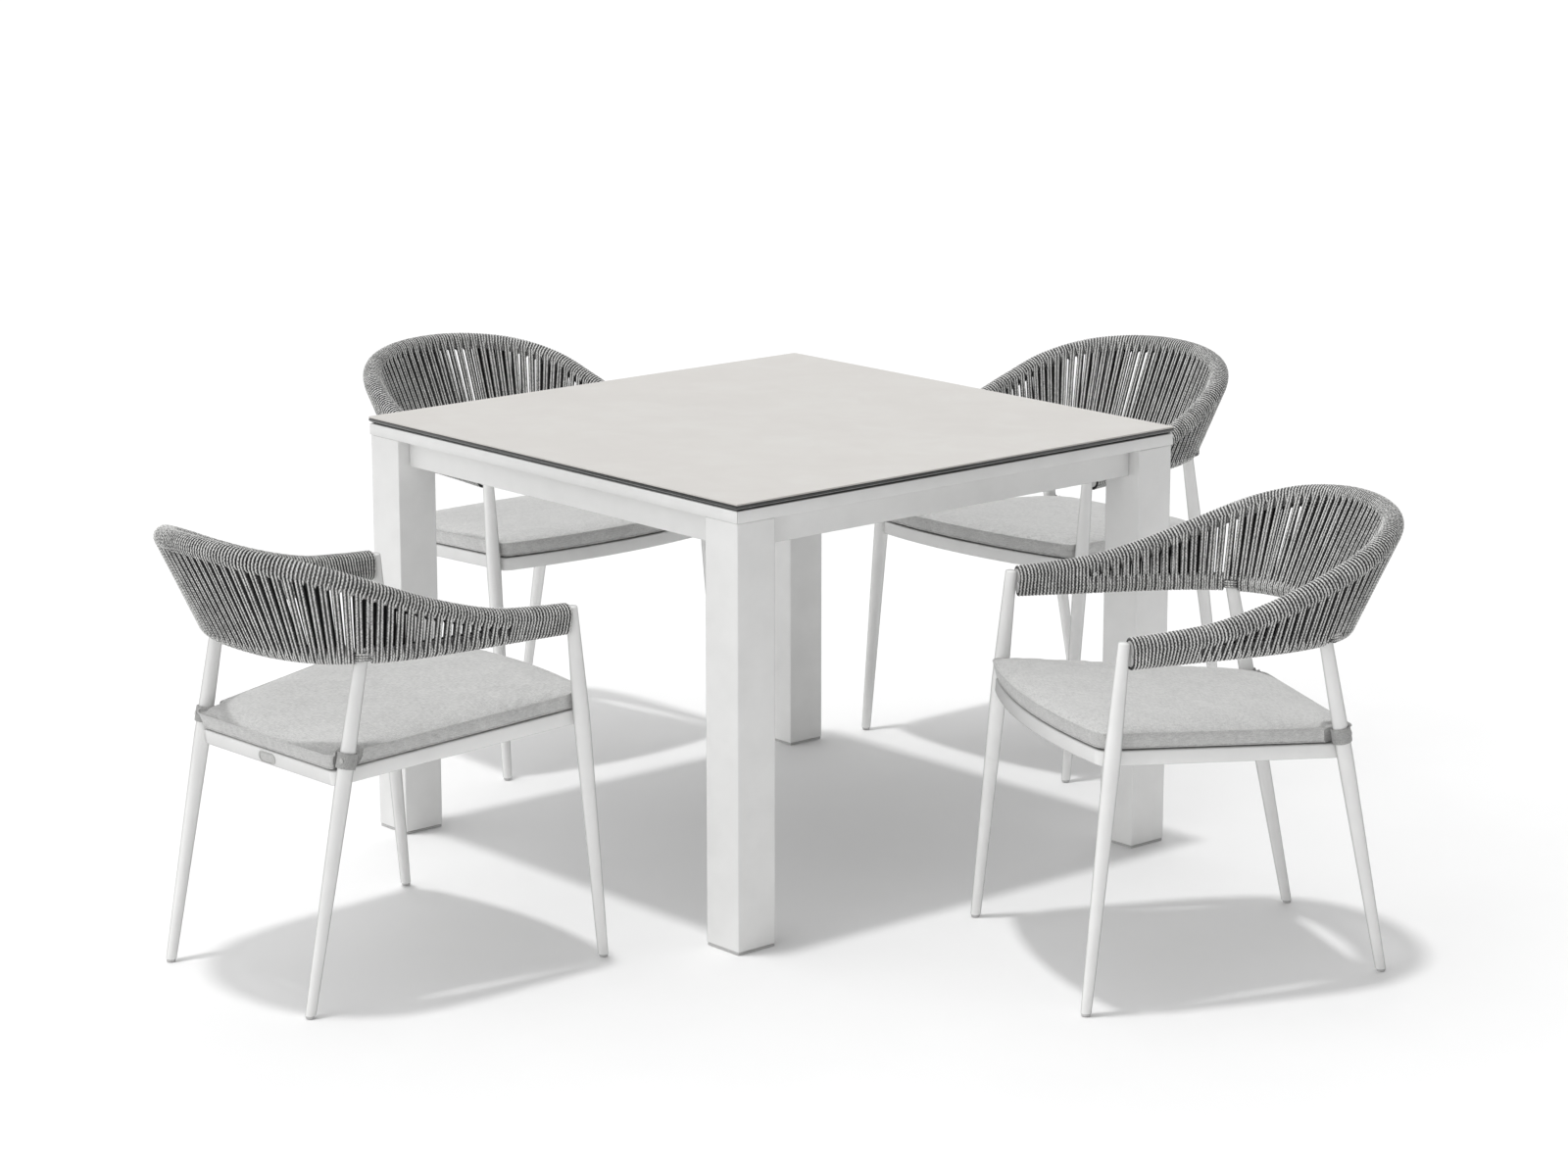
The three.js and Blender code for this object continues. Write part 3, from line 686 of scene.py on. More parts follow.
def leg_mesh(foot, top, seat_height, radii, dome):
    """A tapered tube: thickest level with the seat, standing on its glide."""
    length = (top - foot).length
    waist = seat_height - SEAT_FRAME_HEIGHT
    foot_radius, seat_radius, top_radius = radii
    profile = [(foot_radius * 0.86, 0.0), (foot_radius, FOOT_EASE)]
    for i in range(1, 9):
        share = i / 8
        profile.append((foot_radius + (seat_radius - foot_radius) * share, waist * share))
    profile.append((seat_radius, seat_height))
    end = length - (DOME_HEIGHT if dome else 0)
    for i in range(1, 7):
        share = i / 6
        profile.append((seat_radius + (top_radius - seat_radius) * share,
                        seat_height + (end - seat_height) * share))
    if dome:
        for k in range(1, 6):
            angle = k * math.pi / 10
            profile.append((top_radius * math.cos(angle), end + DOME_HEIGHT * math.sin(angle)))
        profile[-1] = (top_radius * 0.12, length)
    rings, direction = turned(foot, top, profile, 28)
    for ring, height in zip(rings, (GLIDE_HEIGHT, GLIDE_HEIGHT + FOOT_EASE)):
        for point in ring:
            point += direction * ((height - point.z) / direction.z)
    return lofted(rings, WHITE)


def seat_corners(margin):
    rear = on_leg(REAR_FOOT, REAR_TOP, SEAT_REAR_HEIGHT)
    front = on_leg(FRONT_FOOT, FRONT_TOP, SEAT_FRONT_HEIGHT)
    return (
        rear.x - REAR_LEG_RADIUS - GAP + margin, rear.y - SEAT_REAR_REACH - margin,
        front.x - FRONT_LEG_RADIUS - GAP + margin, front.y + SEAT_FRONT_REACH + margin,
    )


SIDE_STEPS = 84                  # points along each of the seat outline's four sides
SEAT_HINGE_Y = on_leg(FRONT_FOOT, FRONT_TOP, SEAT_FRONT_HEIGHT).y
SEAT_TILT = math.atan2(SEAT_FRONT_HEIGHT - SEAT_REAR_HEIGHT,
                       SEAT_HINGE_Y - on_leg(REAR_FOOT, REAR_TOP, SEAT_REAR_HEIGHT).y)


def seat_outline(margin, rounding=0):
    """The seat frame's outline from above: rear, right, bowed front, left, the same count each.
    rounding is how many points each corner is eased over."""
    rear_x, rear_y, front_x, front_y = seat_corners(margin)
    t = np.linspace(0, 1, SIDE_STEPS, endpoint=False)
    rear = np.stack([-rear_x + 2 * rear_x * t, np.full_like(t, rear_y)], 1)
    right = np.stack([rear_x + (front_x - rear_x) * t, rear_y + (front_y - rear_y) * t], 1)
    bow = np.stack([front_x * (1 - 2 * t), front_y + 4 * SEAT_FRONT_BOW * t * (1 - t)], 1)
    left = np.stack([-front_x + (front_x - rear_x) * t, front_y + (rear_y - front_y) * t], 1)
    whole = np.concatenate([rear, right, bow, left])
    if rounding:
        shifts = range(-rounding, rounding + 1)
        whole = sum(np.roll(whole, k, axis=0) for k in shifts) / len(shifts)
    return whole


def on_seat(flat, lift):
    """Points drawn flat, tilted into the plane of the seat frame's top and raised square to it."""
    flat = np.asarray(flat, float)
    y = flat[..., 1] - SEAT_HINGE_Y
    lift = np.broadcast_to(lift, y.shape)
    return np.stack([
        flat[..., 0],
        SEAT_HINGE_Y + y * math.cos(SEAT_TILT) - lift * math.sin(SEAT_TILT),
        SEAT_FRONT_HEIGHT + y * math.sin(SEAT_TILT) + lift * math.cos(SEAT_TILT),
    ], -1)


def rounded_section(width, height, radius, steps=3):
    """A rounded rectangle from (0, 0) to (-width, -height), as (across, up) points."""
    points = []
    for cx, cy, start in (
        (-radius, -radius, 0), (-width + radius, -radius, 90),
        (-width + radius, -height + radius, 180), (-radius, -height + radius, 270),
    ):
        for k in range(steps + 1):
            angle = math.radians(start + 90 * k / steps)
            points.append((cx + radius * math.cos(angle), cy + radius * math.sin(angle)))
    return points


def seat_ring():
    """The seat frame: a rounded bar bent round the outline."""
    sections = [on_seat(seat_outline(across, 2), up)
                for across, up in rounded_section(SEAT_BAR_WIDTH, SEAT_FRAME_HEIGHT, 3 * MM)]
    rings = list(np.stack(sections, 1))
    return lofted(rings, WHITE, closed_path=True)


def seat_slats():
    """Flat bars across the seat frame, under the cushion."""
    shape = eased_box(Vector((-0.5, -SLAT_WIDTH / 2, -SLAT_THICKNESS / 2)),
                      Vector((0.5, SLAT_WIDTH / 2, SLAT_THICKNESS / 2)), 1 * MM, WHITE)
    rear_x, rear_y, front_x, front_y = seat_corners(0)
    places = []
    for i in range(SLAT_COUNT):
        share = (i + SLAT_MARGIN) / (SLAT_COUNT - 1 + 2 * SLAT_MARGIN)
        y = rear_y + SEAT_REAR_REACH + (front_y - SEAT_FRONT_REACH - rear_y - SEAT_REAR_REACH) * share
        half = rear_x + (front_x - rear_x) * share - SEAT_BAR_WIDTH / 2
        centre = on_seat((0, y), -SLAT_DROP - SLAT_THICKNESS / 2)
        places.append((centre, (SEAT_TILT, 0, 0), (2 * half, 1, 1)))
    return repeated(shape, places, WHITE)


def glides():
    """The four nylon glides in the feet."""
    tall = GLIDE_HEIGHT + MM
    profile = ((0.8, 0.0), (1.0, 0.5), (1.0, 1.0), (0.95, 1.0))
    shape = lofted(spun([(GLIDE_RADIUS * r, tall * h) for r, h in profile], 16), NYLON)
    places = [(mirrored(foot, sign), (0, 0, 0), (1, 1, 1))
              for foot in (FRONT_FOOT, REAR_FOOT) for sign in (1, -1)]
    return repeated(shape, places, NYLON)


def rail_mesh(rail, radius):
    steps = 120
    return tube([rail.at(rail.length * i / steps) for i in range(steps + 1)], radius, 20, WHITE)


# The plate's outline inwards: share of its size, share of its thickness out from the bar.
PLATE_STEPS = ((1.0, 0.0), (1.0, 0.7), (0.97, 0.9), (0.92, 1.0), (0.86, 1.0), (0.83, 0.35),
               (0.78, 0.35), (0.75, 0.75), (0.5, 0.75))


def blank_plate():
    """A small oval plate with nothing on it, riveted to the outer face of the rear bar."""
    half_long, half_tall, thick = 22 * MM, 9 * MM, 1.4 * MM
    rings = []
    for grow, out in PLATE_STEPS:
        ring = []
        for a in angles(40):
            x = (half_long - half_tall) * (1 if math.cos(a) > 0 else -1) + half_tall * math.cos(a)
            ring.append(Vector((x * grow, -out * thick, half_tall * math.sin(a) * grow)))
        rings.append(ring)
    plate = lofted(rings, STEEL)
    centre = Vector(on_seat((0, seat_corners(0)[1]), -SEAT_FRAME_HEIGHT / 2))
    plate.transform(Matrix.Translation(centre) @ Matrix.Rotation(SEAT_TILT, 4, "X"))
    return plate


# ---------------------------------------------------------------- chair: rope


def across(rail, s, towards):
    """At a station of a rail: the direction square to it that points at `towards`, and the one out."""
    along = rail.along(s)
    up = towards - rail.at(s)
    up = (up - along * up.dot(along)).normalized()
    return along, up, up.cross(along).normalized()


def by_a_leg(s):
    """Whether a turn at a station of the lower rail would pass through a rear leg."""
    return min(abs(s - leg) for leg in REAR_LEG_STATIONS) < LEG_GAP


def station_below(s):
    """The station of the lower rail that a strand from station s of the top rail is drawn to: mostly
    the nearest, with a share of an even spacing."""
    nearest = float(np.interp(s, NEAREST_FROM, NEAREST_TO))
    even = s / TOP_RAIL.length * LOWER_RAIL.length
    return nearest * (1 - EVEN_SHARE) + even * EVEN_SHARE


def nearest_stations():
    """For stations of the top rail, the nearest on the lower rail, smoothed and never going back."""
    stations = np.linspace(0, TOP_RAIL.length, STATION_COUNT)
    near = np.maximum.accumulate([LOWER_RAIL.nearest(TOP_RAIL.at(s)) for s in stations])
    padded = np.pad(near, EVENED_OVER, mode="reflect", reflect_type="odd")
    width = 2 * EVENED_OVER + 1
    near = np.convolve(padded, np.ones(width) / width, mode="valid")
    near = (near + LOWER_RAIL.length - near[::-1]) / 2
    near[0], near[-1] = 0.0, LOWER_RAIL.length
    return stations, near


STATION_COUNT = 161
EVENED_OVER = 8                 # stations to each side that one is averaged with
EVEN_SHARE = 0.1                # of even spacing, against the nearest point
NEAREST_FROM, NEAREST_TO = nearest_stations()


def arc(centre, e_out, e_up, radius, start, stop, steps):
    """Points of an arc round a rail, each with the way it faces."""
    ways = [e_out * math.cos(a) + e_up * math.sin(a) for a in np.linspace(start, stop, steps)]
    return [(centre + way * radius, way) for way in ways]


def hoop(centre, e_out, e_up, radius, steps):
    """Points once round a rail, from below it."""
    return arc(centre, e_out, e_up, radius, -math.pi / 2, 1.5 * math.pi, steps)[:-1]


def run(start, stop, shares):
    """Points of a straight run of rope between two points that each have a facing."""
    return [(start[0].lerp(stop[0], t), start[1].lerp(stop[1], t).normalized()) for t in shares]


UNDER_POINTS, OVER_POINTS = 5, 11                # of a turn round both rails
TOP_HOOP_POINTS, LOWER_HOOP_POINTS = 15, 13      # of a turn round one rail


def rope_lines():
    """Every turn of the rope as a line, with whether it closes, its lean and the way it leans."""
    half = ROPE_THICKNESS / 2
    top_radius = TOP_RAIL_RADIUS + half
    low_radius = LOWER_RAIL_RADIUS + half
    turns = int(TOP_RAIL.length / ROPE_PITCH)
    lines = []
    for i in range(turns):
        s = (i + 0.6) * TOP_RAIL.length / turns
        in_sleeve = min(s, TOP_RAIL.length - s) < SLEEVE_LENGTH
        spread = 0 if in_sleeve else (-STRAND_SPREAD, STRAND_SPREAD, 0)[i % 3]
        low_s = station_below(s + spread)
        top, low = TOP_RAIL.at(s), LOWER_RAIL.at(low_s)
        top_along, top_up, top_out = across(TOP_RAIL, s, low)
        top_up = -top_up
        low_along, low_up, low_out = across(LOWER_RAIL, low_s, top)
        low_out = -low_out
        apart = (top - low).length
        slant = math.asin(min(0.95, (top_radius - low_radius) / apart))
        lean = ROPE_LEAN * (SLIGHT_LEAN if in_sleeve else 1.0)
        wobble = random.uniform(-ROPE_WOBBLE, ROPE_WOBBLE)
        if in_sleeve or i % 3 != 2:
            opened = by_a_leg(low_s)
            lowest = ROPE_OPEN_END if opened else -math.pi / 2
            under = arc(low, low_out, low_up, low_radius, lowest, -slant, UNDER_POINTS)
            over = arc(top, top_out, top_up, top_radius, -slant, math.pi + slant, OVER_POINTS)
            back = arc(low, low_out, low_up, low_radius, math.pi + slant, math.pi - lowest, UNDER_POINTS)
            shares = (0.5,) if apart < 3 * top_radius else (0.2, 0.5, 0.8)
            path = under + run(under[-1], over[0], shares) + over + run(over[-1], back[0], shares)
            path += back if opened else back[:-1]
            lines.append((path, not opened, lean + wobble, top_along))
        else:
            on_top = hoop(top, top_out, top_up, top_radius, TOP_HOOP_POINTS)
            lines.append((on_top, True, SLIGHT_LEAN * lean, top_along))
            if not by_a_leg(low_s):
                below = hoop(low, low_out, low_up, low_radius, LOWER_HOOP_POINTS)
                lines.append((below, True, SLIGHT_LEAN * lean, low_along))
    return lines


def bridging_lines():
    """Over the ends of the turns above a rear leg: short runs of rope along the rail's faces."""
    lines = []
    proud = LOWER_RAIL_RADIUS + ROPE_THICKNESS + 1 * MM
    for leg in REAR_LEG_STATIONS:
        for height in (-1, 0, 1):
            for face in (-1, 1):
                path = []
                for reach in np.linspace(-1, 1, BRIDGE_STEPS + 1):
                    s = leg + reach * LEG_GAP
                    place = LOWER_RAIL.at(s)
                    along, up, out = across(LOWER_RAIL, s, place + Vector((0, 0, 1)))
                    away = out * face * (proud - BRIDGE_TUCK * reach ** 6)
                    shift = up * height * ROPE_THICKNESS * BRIDGE_APART
                    path.append((place + away + shift, out * face))
                lines.append(path)
    return lines


def rope_mesh():
    """The whole back's rope: each line swept round, and how far each point stands proud of its core."""
    cores, faces, edges, reach = [], [], [], []

    def keep(path, closed, lean=0.0, along=Vector()):
        first, count, travelled = len(cores), len(path), 0.0
        for k, (point, face) in enumerate(path):
            travelled += (point - path[k - 1][0]).length if k else 0.0
            cores.append(point + along * lean * math.sin(2 * math.pi * k / count))
            faces.append(face)
            reach.append(travelled)
            if k + 1 < count or closed:
                edges.append((first + k, first + (k + 1) % count))

    for path, closed, lean, along in rope_lines():
        keep(path, closed, lean, along)
    for path in bridging_lines():
        keep(path, False)
    lines = bpy.data.meshes.new("rope_lines")
    lines.from_pydata([tuple(p) for p in cores], edges, [])
    store(lines, "rope_core", [tuple(p) for p in cores])
    store(lines, "rope_face", [tuple(p) for p in faces])
    store(lines, "rope_length", reach, "FLOAT")
    made = grown(lines, ROPE_TREE, {"Rope Radius": ROPE_WIDTH / 2, "Sides": 8, "Material": ROPE})
    core, face = read(made, "rope_core"), read(made, "rope_face")
    # How proud a point stands drives the painted highlight and shade in the rope's material.
    store(made, "rope_proud", ((coordinates(made) - core) * face).sum(1) / (ROPE_WIDTH / 2), "FLOAT")
    for name in ("rope_core", "rope_face"):
        made.attributes.remove(made.attributes[name])
    made.materials.clear()
    made.materials.append(ROPE)
    return made


# ---------------------------------------------------------------- chair: cushion

SIDE_ROWS = 6                    # of faces down the cushion's border


def cushion_grid():
    """The cover before it is filled: a top and a bottom sheet, and a border strip between them."""
    edge = seat_outline(CUSHION_OVERHANG, 4)
    n = SIDE_STEPS
    rear, right, bow, left = (edge[k * n:(k + 1) * n] for k in range(4))
    rear = np.vstack([rear, right[:1]])
    right = np.vstack([right, bow[:1]])
    bow = np.vstack([bow, left[:1]])[::-1]
    left = np.vstack([left, edge[:1]])[::-1]
    u = np.linspace(0, 1, n + 1)[:, None, None]
    v = np.linspace(0, 1, n + 1)[None, :, None]
    sheet = ((1 - v) * rear[:, None] + v * bow[:, None] + (1 - u) * left[None] + u * right[None]
             - (1 - u) * (1 - v) * rear[0] - u * (1 - v) * rear[-1] - (1 - u) * v * bow[0] - u * v * bow[-1])
    sheet = sheet.reshape(-1, 2)
    index = np.arange(len(sheet)).reshape(n + 1, n + 1)
    rim = np.concatenate([index[:-1, 0], index[-1, :-1], index[:0:-1, -1], index[0, :0:-1]])
    sheets = len(sheet)
    middle = edge.mean(0)

    def drawn_in(flat, share):
        return middle + (flat - middle) * (1 - UNDERCUT * share)

    points = [on_seat(sheet, TOP_SEAM), on_seat(drawn_in(sheet, 1), BOTTOM_SEAM)]
    faces = []
    for i in range(n):
        for j in range(n):
            a, b, c, d = index[i, j], index[i + 1, j], index[i + 1, j + 1], index[i, j + 1]
            faces.append((a, b, c, d))
            faces.append((a + sheets, d + sheets, c + sheets, b + sheets))
    rows = [rim]
    for r in range(1, SIDE_ROWS):
        height = TOP_SEAM + (BOTTOM_SEAM - TOP_SEAM) * r / SIDE_ROWS
        rows.append(np.arange(len(rim)) + sum(len(p) for p in points))
        points.append(on_seat(drawn_in(sheet[rim], r / SIDE_ROWS), height))
    rows.append(rim + sheets)
    for upper, lower in zip(rows, rows[1:]):
        for k in range(len(rim)):
            m = (k + 1) % len(rim)
            faces.append((upper[k], lower[k], lower[m], upper[m]))
    return np.concatenate(points), faces, rows, sheets


SEAT_UP = Vector((0, -math.sin(SEAT_TILT), math.cos(SEAT_TILT)))


def clear_of_legs(co):
    """Pushes points out of the space round the legs and their straps, with the cushion down, half
    lifted and lifted."""
    strapped = REAR_LEG_RADIUS + STRAP_SLACK + STRAP_THICKNESS
    for foot, top, radius in (
        (FRONT_FOOT, FRONT_TOP, FRONT_LEG_RADIUS + FRONT_LEG_CLEARANCE),
        (REAR_FOOT, REAR_TOP, strapped + REAR_LEG_CLEARANCE),
    ):
        for sign in (1, -1):
            for lift in (0, 0.5, 1):
                raised = np.array((0, 0, lift * CUSHION_LIFT))
                a, b = (np.array(mirrored(end, sign)) - raised for end in (foot, top))
                along = (b - a) / np.linalg.norm(b - a)
                off = co - a
                off = off - np.outer(off @ along, along)
                dist = np.linalg.norm(off, axis=1)
                near = dist < radius
                push = (radius - dist[near]) / np.maximum(dist[near], 1e-6)
                co[near] += off[near] * push[:, None]
    return co


def filled_cushion():
    """The cover blown up by cloth simulation, capped to its crown, flat where it rests."""
    start, faces, rows, sheets = cushion_grid()
    mesh = mesh_of(start, faces, CLOTH)
    swollen = simulated(mesh, rows)
    moved = swollen - start
    size = np.linalg.norm(moved, axis=1)
    limit = CROWN * (1 - np.exp(-size / CROWN))
    co = start + moved * (limit / np.maximum(size, 1e-9))[:, None]
    up = np.array(SEAT_UP)
    floor = start[sheets:2 * sheets].mean(0) @ up - BOTTOM_SEAM + 1.0 * MM
    low = co @ up
    sunk = low < floor
    co[sunk] += np.outer(floor - low[sunk], up)
    co = clear_of_legs(co)
    mesh.vertices.foreach_set("co", co.astype(np.float32).ravel())
    mesh.update()
    return mesh, [co[r] for r in (rows[0], rows[-1])]


COVER_CLOTH = {
    "quality": 6, "mass": 0.3, "tension_stiffness": 9, "compression_stiffness": 6,
    "shear_stiffness": 4, "bending_stiffness": 0.3, "use_pressure": True,
    "uniform_pressure_force": 12, "shrink_min": -0.035, "vertex_group_mass": "seams",
    "pin_stiffness": 1.0,
}
FILLING_FRAMES = 20


def simulated(mesh, rows):
    """Points of the cover after some frames of cloth under pressure, its two seams held."""
    cover = bpy.data.objects.new("cover", mesh.copy())
    bpy.context.scene.collection.objects.link(cover)
    seams = cover.vertex_groups.new(name="seams")
    seams.add([int(i) for i in np.concatenate([rows[0], rows[-1]])], 1.0, "REPLACE")
    cloth = cover.modifiers.new("cloth", "CLOTH")
    for name, value in COVER_CLOTH.items():
        setattr(cloth.settings, name, value)
    cloth.settings.effector_weights.gravity = 0
    cloth.collision_settings.use_collision = False
    scene = bpy.context.scene
    cloth.point_cache.frame_start = 1
    cloth.point_cache.frame_end = FILLING_FRAMES
    for number in range(1, FILLING_FRAMES + 1):
        scene.frame_set(number)
    seen = cover.evaluated_get(bpy.context.evaluated_depsgraph_get())
    co = coordinates(seen.data)
    bpy.data.objects.remove(cover)
    scene.frame_set(1)
    return co


def subdivided(mesh):
    """A finer copy of a mesh, after one round of subdivision."""
    def prepare(modifiers):
        finer = modifiers.new("finer", "SUBSURF")
        finer.levels = finer.render_levels = 1

    return evaluated(mesh, prepare)


def cushion_parts():
    """The filled cover, the piping of its two seams and the stitches beside the upper one."""
    body, seams = filled_cushion()
    body = subdivided(body)
    body.materials.clear()
    body.materials.append(CLOTH)
    body.polygons.foreach_set("use_smooth", [True] * len(body.polygons))
    piping = joined([tube(seam, PIPING_RADIUS, 8, CLOTH, closed_path=True) for seam in seams], CLOTH)
    shape = lofted([
        [Vector((x * MM, r * MM * math.cos(a), r * MM * 0.6 * math.sin(a))) for a in angles(6)]
        for x, r in ((-1.4, 0.15), (-0.9, 0.4), (0.9, 0.4), (1.4, 0.15))], THREAD)
    ring = seams[0]
    centre = ring.mean(0)
    looped = np.vstack([ring, ring[:1]])
    reach = np.concatenate([[0], np.cumsum(np.linalg.norm(np.diff(looped, axis=0), axis=1))])

    def on_seam(s):
        return np.array([np.interp(s, reach, looped[:, k]) for k in range(3)])

    places = []
    for s in np.arange(0, reach[-1] - STITCH_PITCH / 2, STITCH_PITCH):
        here = on_seam(s)
        along = on_seam(s + STITCH_PITCH / 2) - here
        spot = Vector(here) + Vector(centre - here).normalized() * STITCH_INSET + SEAT_UP * STITCH_RISE
        places.append((spot, (SEAT_TILT, 0, math.atan2(along[1], along[0])), (1, 1, 1)))
    return body, piping, repeated(shape, places, THREAD)


def strap_place(sign):
    """Where the strap starts on a rear leg, and the leg's way up."""
    foot, top = mirrored(REAR_FOOT, sign), mirrored(REAR_TOP, sign)
    return on_leg(foot, top, SEAT_REAR_HEIGHT + STRAP_ABOVE_SEAT), (top - foot).normalized()


def strap_mesh(sign):
    """The webbing band round a rear leg that holds the cushion."""
    low, direction = strap_place(sign)
    turn = direction.to_track_quat("Z", "Y").to_matrix()
    inner = REAR_LEG_RADIUS + STRAP_SLACK
    outer = inner + STRAP_THICKNESS
    ease, hem = 0.5 * MM, 0.6 * MM
    section = [(inner, hem), (inner + ease, 0), (outer - ease, 0), (outer, hem)]
    section += [(outer + 0.25 * MM, STRAP_HEIGHT * share) for share in (0.12, 0.5, 0.88)]
    section += [(outer, STRAP_HEIGHT - hem), (outer - ease, STRAP_HEIGHT),
                (inner + ease, STRAP_HEIGHT), (inner, STRAP_HEIGHT - hem)]
    rings = [[low + turn @ Vector((r * math.cos(a), r * math.sin(a), h)) for r, h in section]
             for a in angles(48)]
    return lofted(rings, WEBBING, closed_path=True)


def press_studs():
    """A domed press stud on the outer face of each strap."""
    profile = [(4.2, 0.0), (4.2, 0.6), (3.8, 0.95), (3.2, 0.95), (2.9, 0.7), (2.0, 1.1), (0.9, 1.35)]
    shape = lofted(spun([(r * MM, h * MM) for r, h in profile], 18), STEEL)
    places = []
    reach = REAR_LEG_RADIUS + STRAP_SLACK + STRAP_THICKNESS
    for sign in (1, -1):
        low, direction = strap_place(sign)
        out = Vector((0.35 * sign, -1, 0))
        out = (out - direction * out.dot(direction)).normalized()
        place = low + direction * STRAP_HEIGHT / 2 + out * reach
        places.append((place, out.to_track_quat("Z", "Y").to_euler(), (1, 1, 1)))
    return repeated(shape, places, STEEL)


# ---------------------------------------------------------------- putting pieces in the scene


def piece(name, mesh, body, slot, *nodes):
    """Makes a finished piece: at the origin, riding on its body, standing for its CAD nodes."""
    mesh.name = name
    made = bpy.data.objects.new(name, mesh)
    bpy.context.scene.collection.objects.link(made)
    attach(made, body)
    if nodes:
        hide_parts(*nodes)
    return made


def chair_matrix(name):
    """Where a packed chair stands: its forward way from its slide, its middle from its feet."""
    slide = next(j for j in frame["joints"] if j["name"] == f"{name}_slide")
    forward = Vector(slide["axis"]).normalized()
    middle = Vector((0, 0, 0))
    for leg in ("front_leg_left", "front_leg_right", "rear_leg_left", "rear_leg_right"):
        co = coordinates(frame["nodes"][f"{name}_{leg}"].data)
        middle += Vector(co[co[:, 2] < co[:, 2].min() + 0.1 * MM].mean(0)) / 4
    return Matrix((
        (forward.y, forward.x, 0, middle.x),
        (-forward.x, forward.y, 0, middle.y),
        (0, 0, 1, 0),
        (0, 0, 0, 1),
    ))


def placed(mesh, matrix):
    """A copy of a chair part stood with its chair; it remembers its place on the chair."""
    copy = mesh.copy()
    store(copy, "chair_place", coordinates(copy))
    copy.transform(matrix)
    copy.update()
    return copy


FRONT_RADII = (FOOT_RADIUS, FRONT_LEG_RADIUS, FRONT_LEG_TOP_RADIUS)
REAR_RADII = (FOOT_RADIUS, REAR_LEG_RADIUS, REAR_LEG_TOP_RADIUS)

chair_parts = []
for hand, sign in (("left", -1), ("right", 1)):
    front = mirrored(FRONT_FOOT, sign), mirrored(FRONT_TOP, sign)
    rear = mirrored(REAR_FOOT, sign), mirrored(REAR_TOP, sign)
    front_tube = leg_mesh(*front, SEAT_FRONT_HEIGHT, FRONT_RADII, True)
    rear_tube = leg_mesh(*rear, SEAT_REAR_HEIGHT, REAR_RADII, False)
    chair_parts += [
        (f"front_tube_{hand}", front_tube, "white_frame", f"front_leg_{hand}"),
        (f"rear_tube_{hand}", rear_tube, "white_frame", f"rear_leg_{hand}"),
        (f"strap_band_{hand}", strap_mesh(sign), "grey_fabric", f"cushion_strap_{hand}"),
    ]
chair_parts += [
    ("seat_ring", seat_ring(), "white_frame", "seat_frame"),
    ("seat_slats", seat_slats(), "white_frame"),
    ("glides", glides(), "rubber_feet"),
    ("top_tube", rail_mesh(TOP_RAIL, TOP_RAIL_RADIUS), "white_frame", "top_rail"),
    ("lower_tube", rail_mesh(LOWER_RAIL, LOWER_RAIL_RADIUS), "white_frame", "lower_rail"),
    ("rope_turns", rope_mesh(), "grey_rope", "rope_back"),
    ("blank_plate", blank_plate(), "white_frame"),
    ("press_studs", press_studs(), "white_frame"),
]

cushion_body, cushion_piping, cushion_stitches = cushion_parts()

for chair in ("front_chair", "right_chair", "back_chair", "left_chair"):
    matrix = chair_matrix(chair)
    for label, mesh, slot, *nodes in chair_parts:
        nodes = [f"{chair}_{node}" for node in nodes]
        piece(f"{chair}_{label}", placed(mesh, matrix), chair, slot, *nodes)
    rides_on = f"{chair}_cushion"
    pad = piece(f"{chair}_seat_pad", placed(cushion_body, matrix), rides_on, "grey_fabric",
                f"{chair}_cushion")
    piece(f"{chair}_pad_piping", placed(cushion_piping, matrix), rides_on, "grey_fabric")
    piece(f"{chair}_pad_stitches", placed(cushion_stitches, matrix), rides_on, "grey_fabric")

# ---------------------------------------------------------------- table


def block(name, node, edge, material, slot):
    """A table part with eased edges, filling its CAD node's box."""
    low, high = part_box(node)
    return piece(name, eased_box(low, high, edge, material), "table", slot, node)


def edge_loft(low, high, steps, material):
    """A pane whose edge follows (inset, height) steps all round, its corners slightly rounded."""
    corner = 1.5 * MM
    rings = []
    for inset, z in steps:
        ring = []
        for cx, cy, start in ((1, 1, 0), (-1, 1, 90), (-1, -1, 180), (1, -1, 270)):
            x = (high.x - inset - corner) if cx > 0 else (low.x + inset + corner)
            y = (high.y - inset - corner) if cy > 0 else (low.y + inset + corner)
            for k in range(4):
                a = math.radians(start + 30 * k)
                ring.append(Vector((x + corner * math.cos(a), y + corner * math.sin(a), z)))
        rings.append(ring)
    return lofted(rings, material)


top_low, top_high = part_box("table_top_ceramic")
slab = edge_loft(top_low, top_high, [
    (0.8 * MM, top_low.z), (0.0, top_low.z + 0.4 * MM), (0.0, top_high.z - 0.9 * MM),
    (0.35 * MM, top_high.z - 0.3 * MM), (1.0 * MM, top_high.z), (1.6 * MM, top_high.z),
], STONE)
piece("ceramic_slab", slab, "table", "ceramic_top", "table_top_ceramic")

pane_low, pane_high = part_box("table_top_glass")
tall = pane_high.z - pane_low.z
pane = edge_loft(pane_low, pane_high, [
    (0.6 * MM, pane_high.z), (0.1 * MM, pane_high.z - 0.5 * MM), (0.0, pane_high.z - 0.42 * tall),
    (0.2 * MM, pane_high.z - 0.46 * tall),
], GLASS)
arris = edge_loft(pane_low, pane_high, [
    (0.2 * MM, pane_high.z - 0.46 * tall), (0.9 * MM, pane_high.z - 0.57 * tall),
], ARRIS)
under = edge_loft(pane_low, pane_high, [
    (0.9 * MM, pane_high.z - 0.57 * tall), (6.0 * MM, pane_low.z + 0.4 * MM), (6.5 * MM, pane_low.z),
], GLASS)
piece("glass_pane", pane, "table", "dark_glass", "table_top_glass")
piece("glass_arris", arris, "table", "dark_glass")
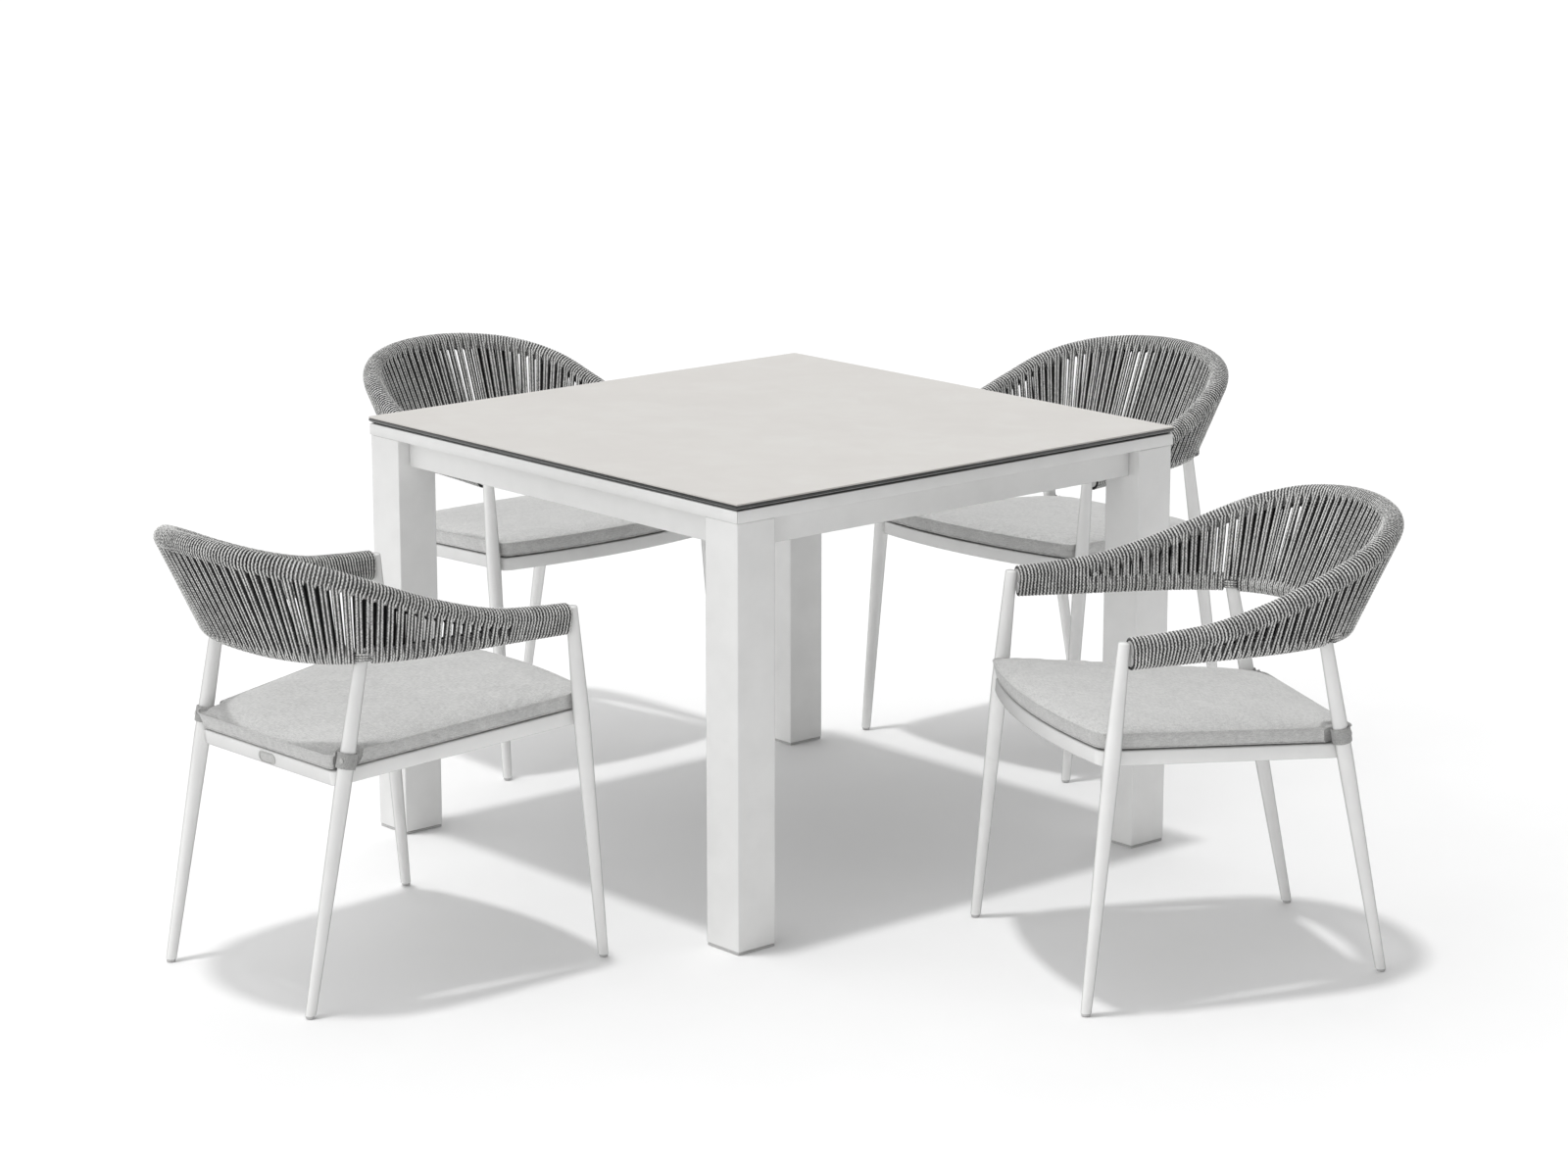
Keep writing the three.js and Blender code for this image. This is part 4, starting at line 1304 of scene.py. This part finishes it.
piece("glass_underside", under, "table", "dark_glass")


def rim_bars():
    """Four bars with mitred ends, a hairline apart at each corner."""
    low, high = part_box("table_top_rim")
    wide, joint = 40 * MM, 0.25 * MM
    section = [(-a, high.z + b) for a, b in rounded_section(wide, high.z - low.z, 0.9 * MM, 2)]
    half = (high.x - low.x) / 2
    centre = (low + high) / 2
    bars = []
    for turn in range(4):
        bar = lofted([
            [Vector((end * (half - inset - joint), -(half - inset), z)) for inset, z in section]
            for end in (-1, 1)], WHITE)
        spin = Matrix.Rotation(turn * math.pi / 2, 4, "Z")
        bar.transform(Matrix.Translation((centre.x, centre.y, 0)) @ spin)
        bars.append(bar)
    return joined(bars, WHITE)


piece("rim_bars", rim_bars(), "table", "white_frame", "table_top_rim")

for ends in ("front", "back"):
    for hand in ("left", "right"):
        block(f"leg_{ends}_{hand}", f"table_leg_{ends}_{hand}", 1.8 * MM, WHITE, "white_frame")
        block(f"pad_{ends}_{hand}", f"table_foot_{ends}_{hand}", 1.0 * MM, NYLON, "rubber_feet")
for place in ("front", "back", "left", "right"):
    block(f"apron_{place}", f"table_apron_{place}", 1.2 * MM, WHITE, "white_frame")
brace = frame["nodes"]["table_centre_brace"]
brace.data.materials.clear()
brace.data.materials.append(WHITE)

# ---------------------------------------------------------------- studio

FLOOR_REACH = 40.0
floor_mesh = bpy.data.meshes.new("floor")
floor_mesh.from_pydata(
    [(x * FLOOR_REACH, y * FLOOR_REACH, 0) for x, y in ((-1, -1), (1, -1), (1, 1), (-1, 1))],
    [], [(0, 1, 2, 3)])
floor_mesh.materials.append(FLOOR_PAINT)
floor = bpy.data.objects.new("studio_floor", floor_mesh)
floor.location.z = -0.2 * MM
bpy.context.scene.collection.objects.link(floor)

sun = bpy.data.lights.new("overhead_softbox", "SUN")
sun.energy = 1.15
sun.angle = math.radians(4)
lamp = bpy.data.objects.new("overhead_softbox", sun)
lamp.rotation_euler = Euler((math.radians(4), math.radians(-3), 0))
bpy.context.scene.collection.objects.link(lamp)

world = bpy.data.worlds.new("white_studio")
world.use_nodes = True
sky = world.node_tree
direction = add(sky, "ShaderNodeTexCoord").outputs["Object"]
towards = add(sky, "ShaderNodeVectorMath", {0: direction, 1: (0.93, 0.37, 0.0)}, operation="DOT_PRODUCT")
share = add(sky, "ShaderNodeMapRange", {
    "Value": towards.outputs["Value"], "From Min": -0.25, "From Max": 0.75, "To Min": 1.1, "To Max": 0.2})
background = sky.nodes["Background"]
background.inputs["Color"].default_value = (1.0, 1.0, 1.0, 1.0)
sky.links.new(share.outputs["Result"], background.inputs["Strength"])
backdrop = add(sky, "ShaderNodeBackground", {"Color": (1.0, 1.0, 1.0, 1.0), "Strength": 1.0})
seen = add(sky, "ShaderNodeLightPath")
both = add(sky, "ShaderNodeMixShader", {
    0: seen.outputs["Is Camera Ray"], 1: background.outputs["Background"], 2: backdrop.outputs["Background"]})
sky.links.new(both.outputs["Shader"], sky.nodes["World Output"].inputs["Surface"])
bpy.context.scene.world = world
bpy.context.scene.view_settings.view_transform = "Standard"
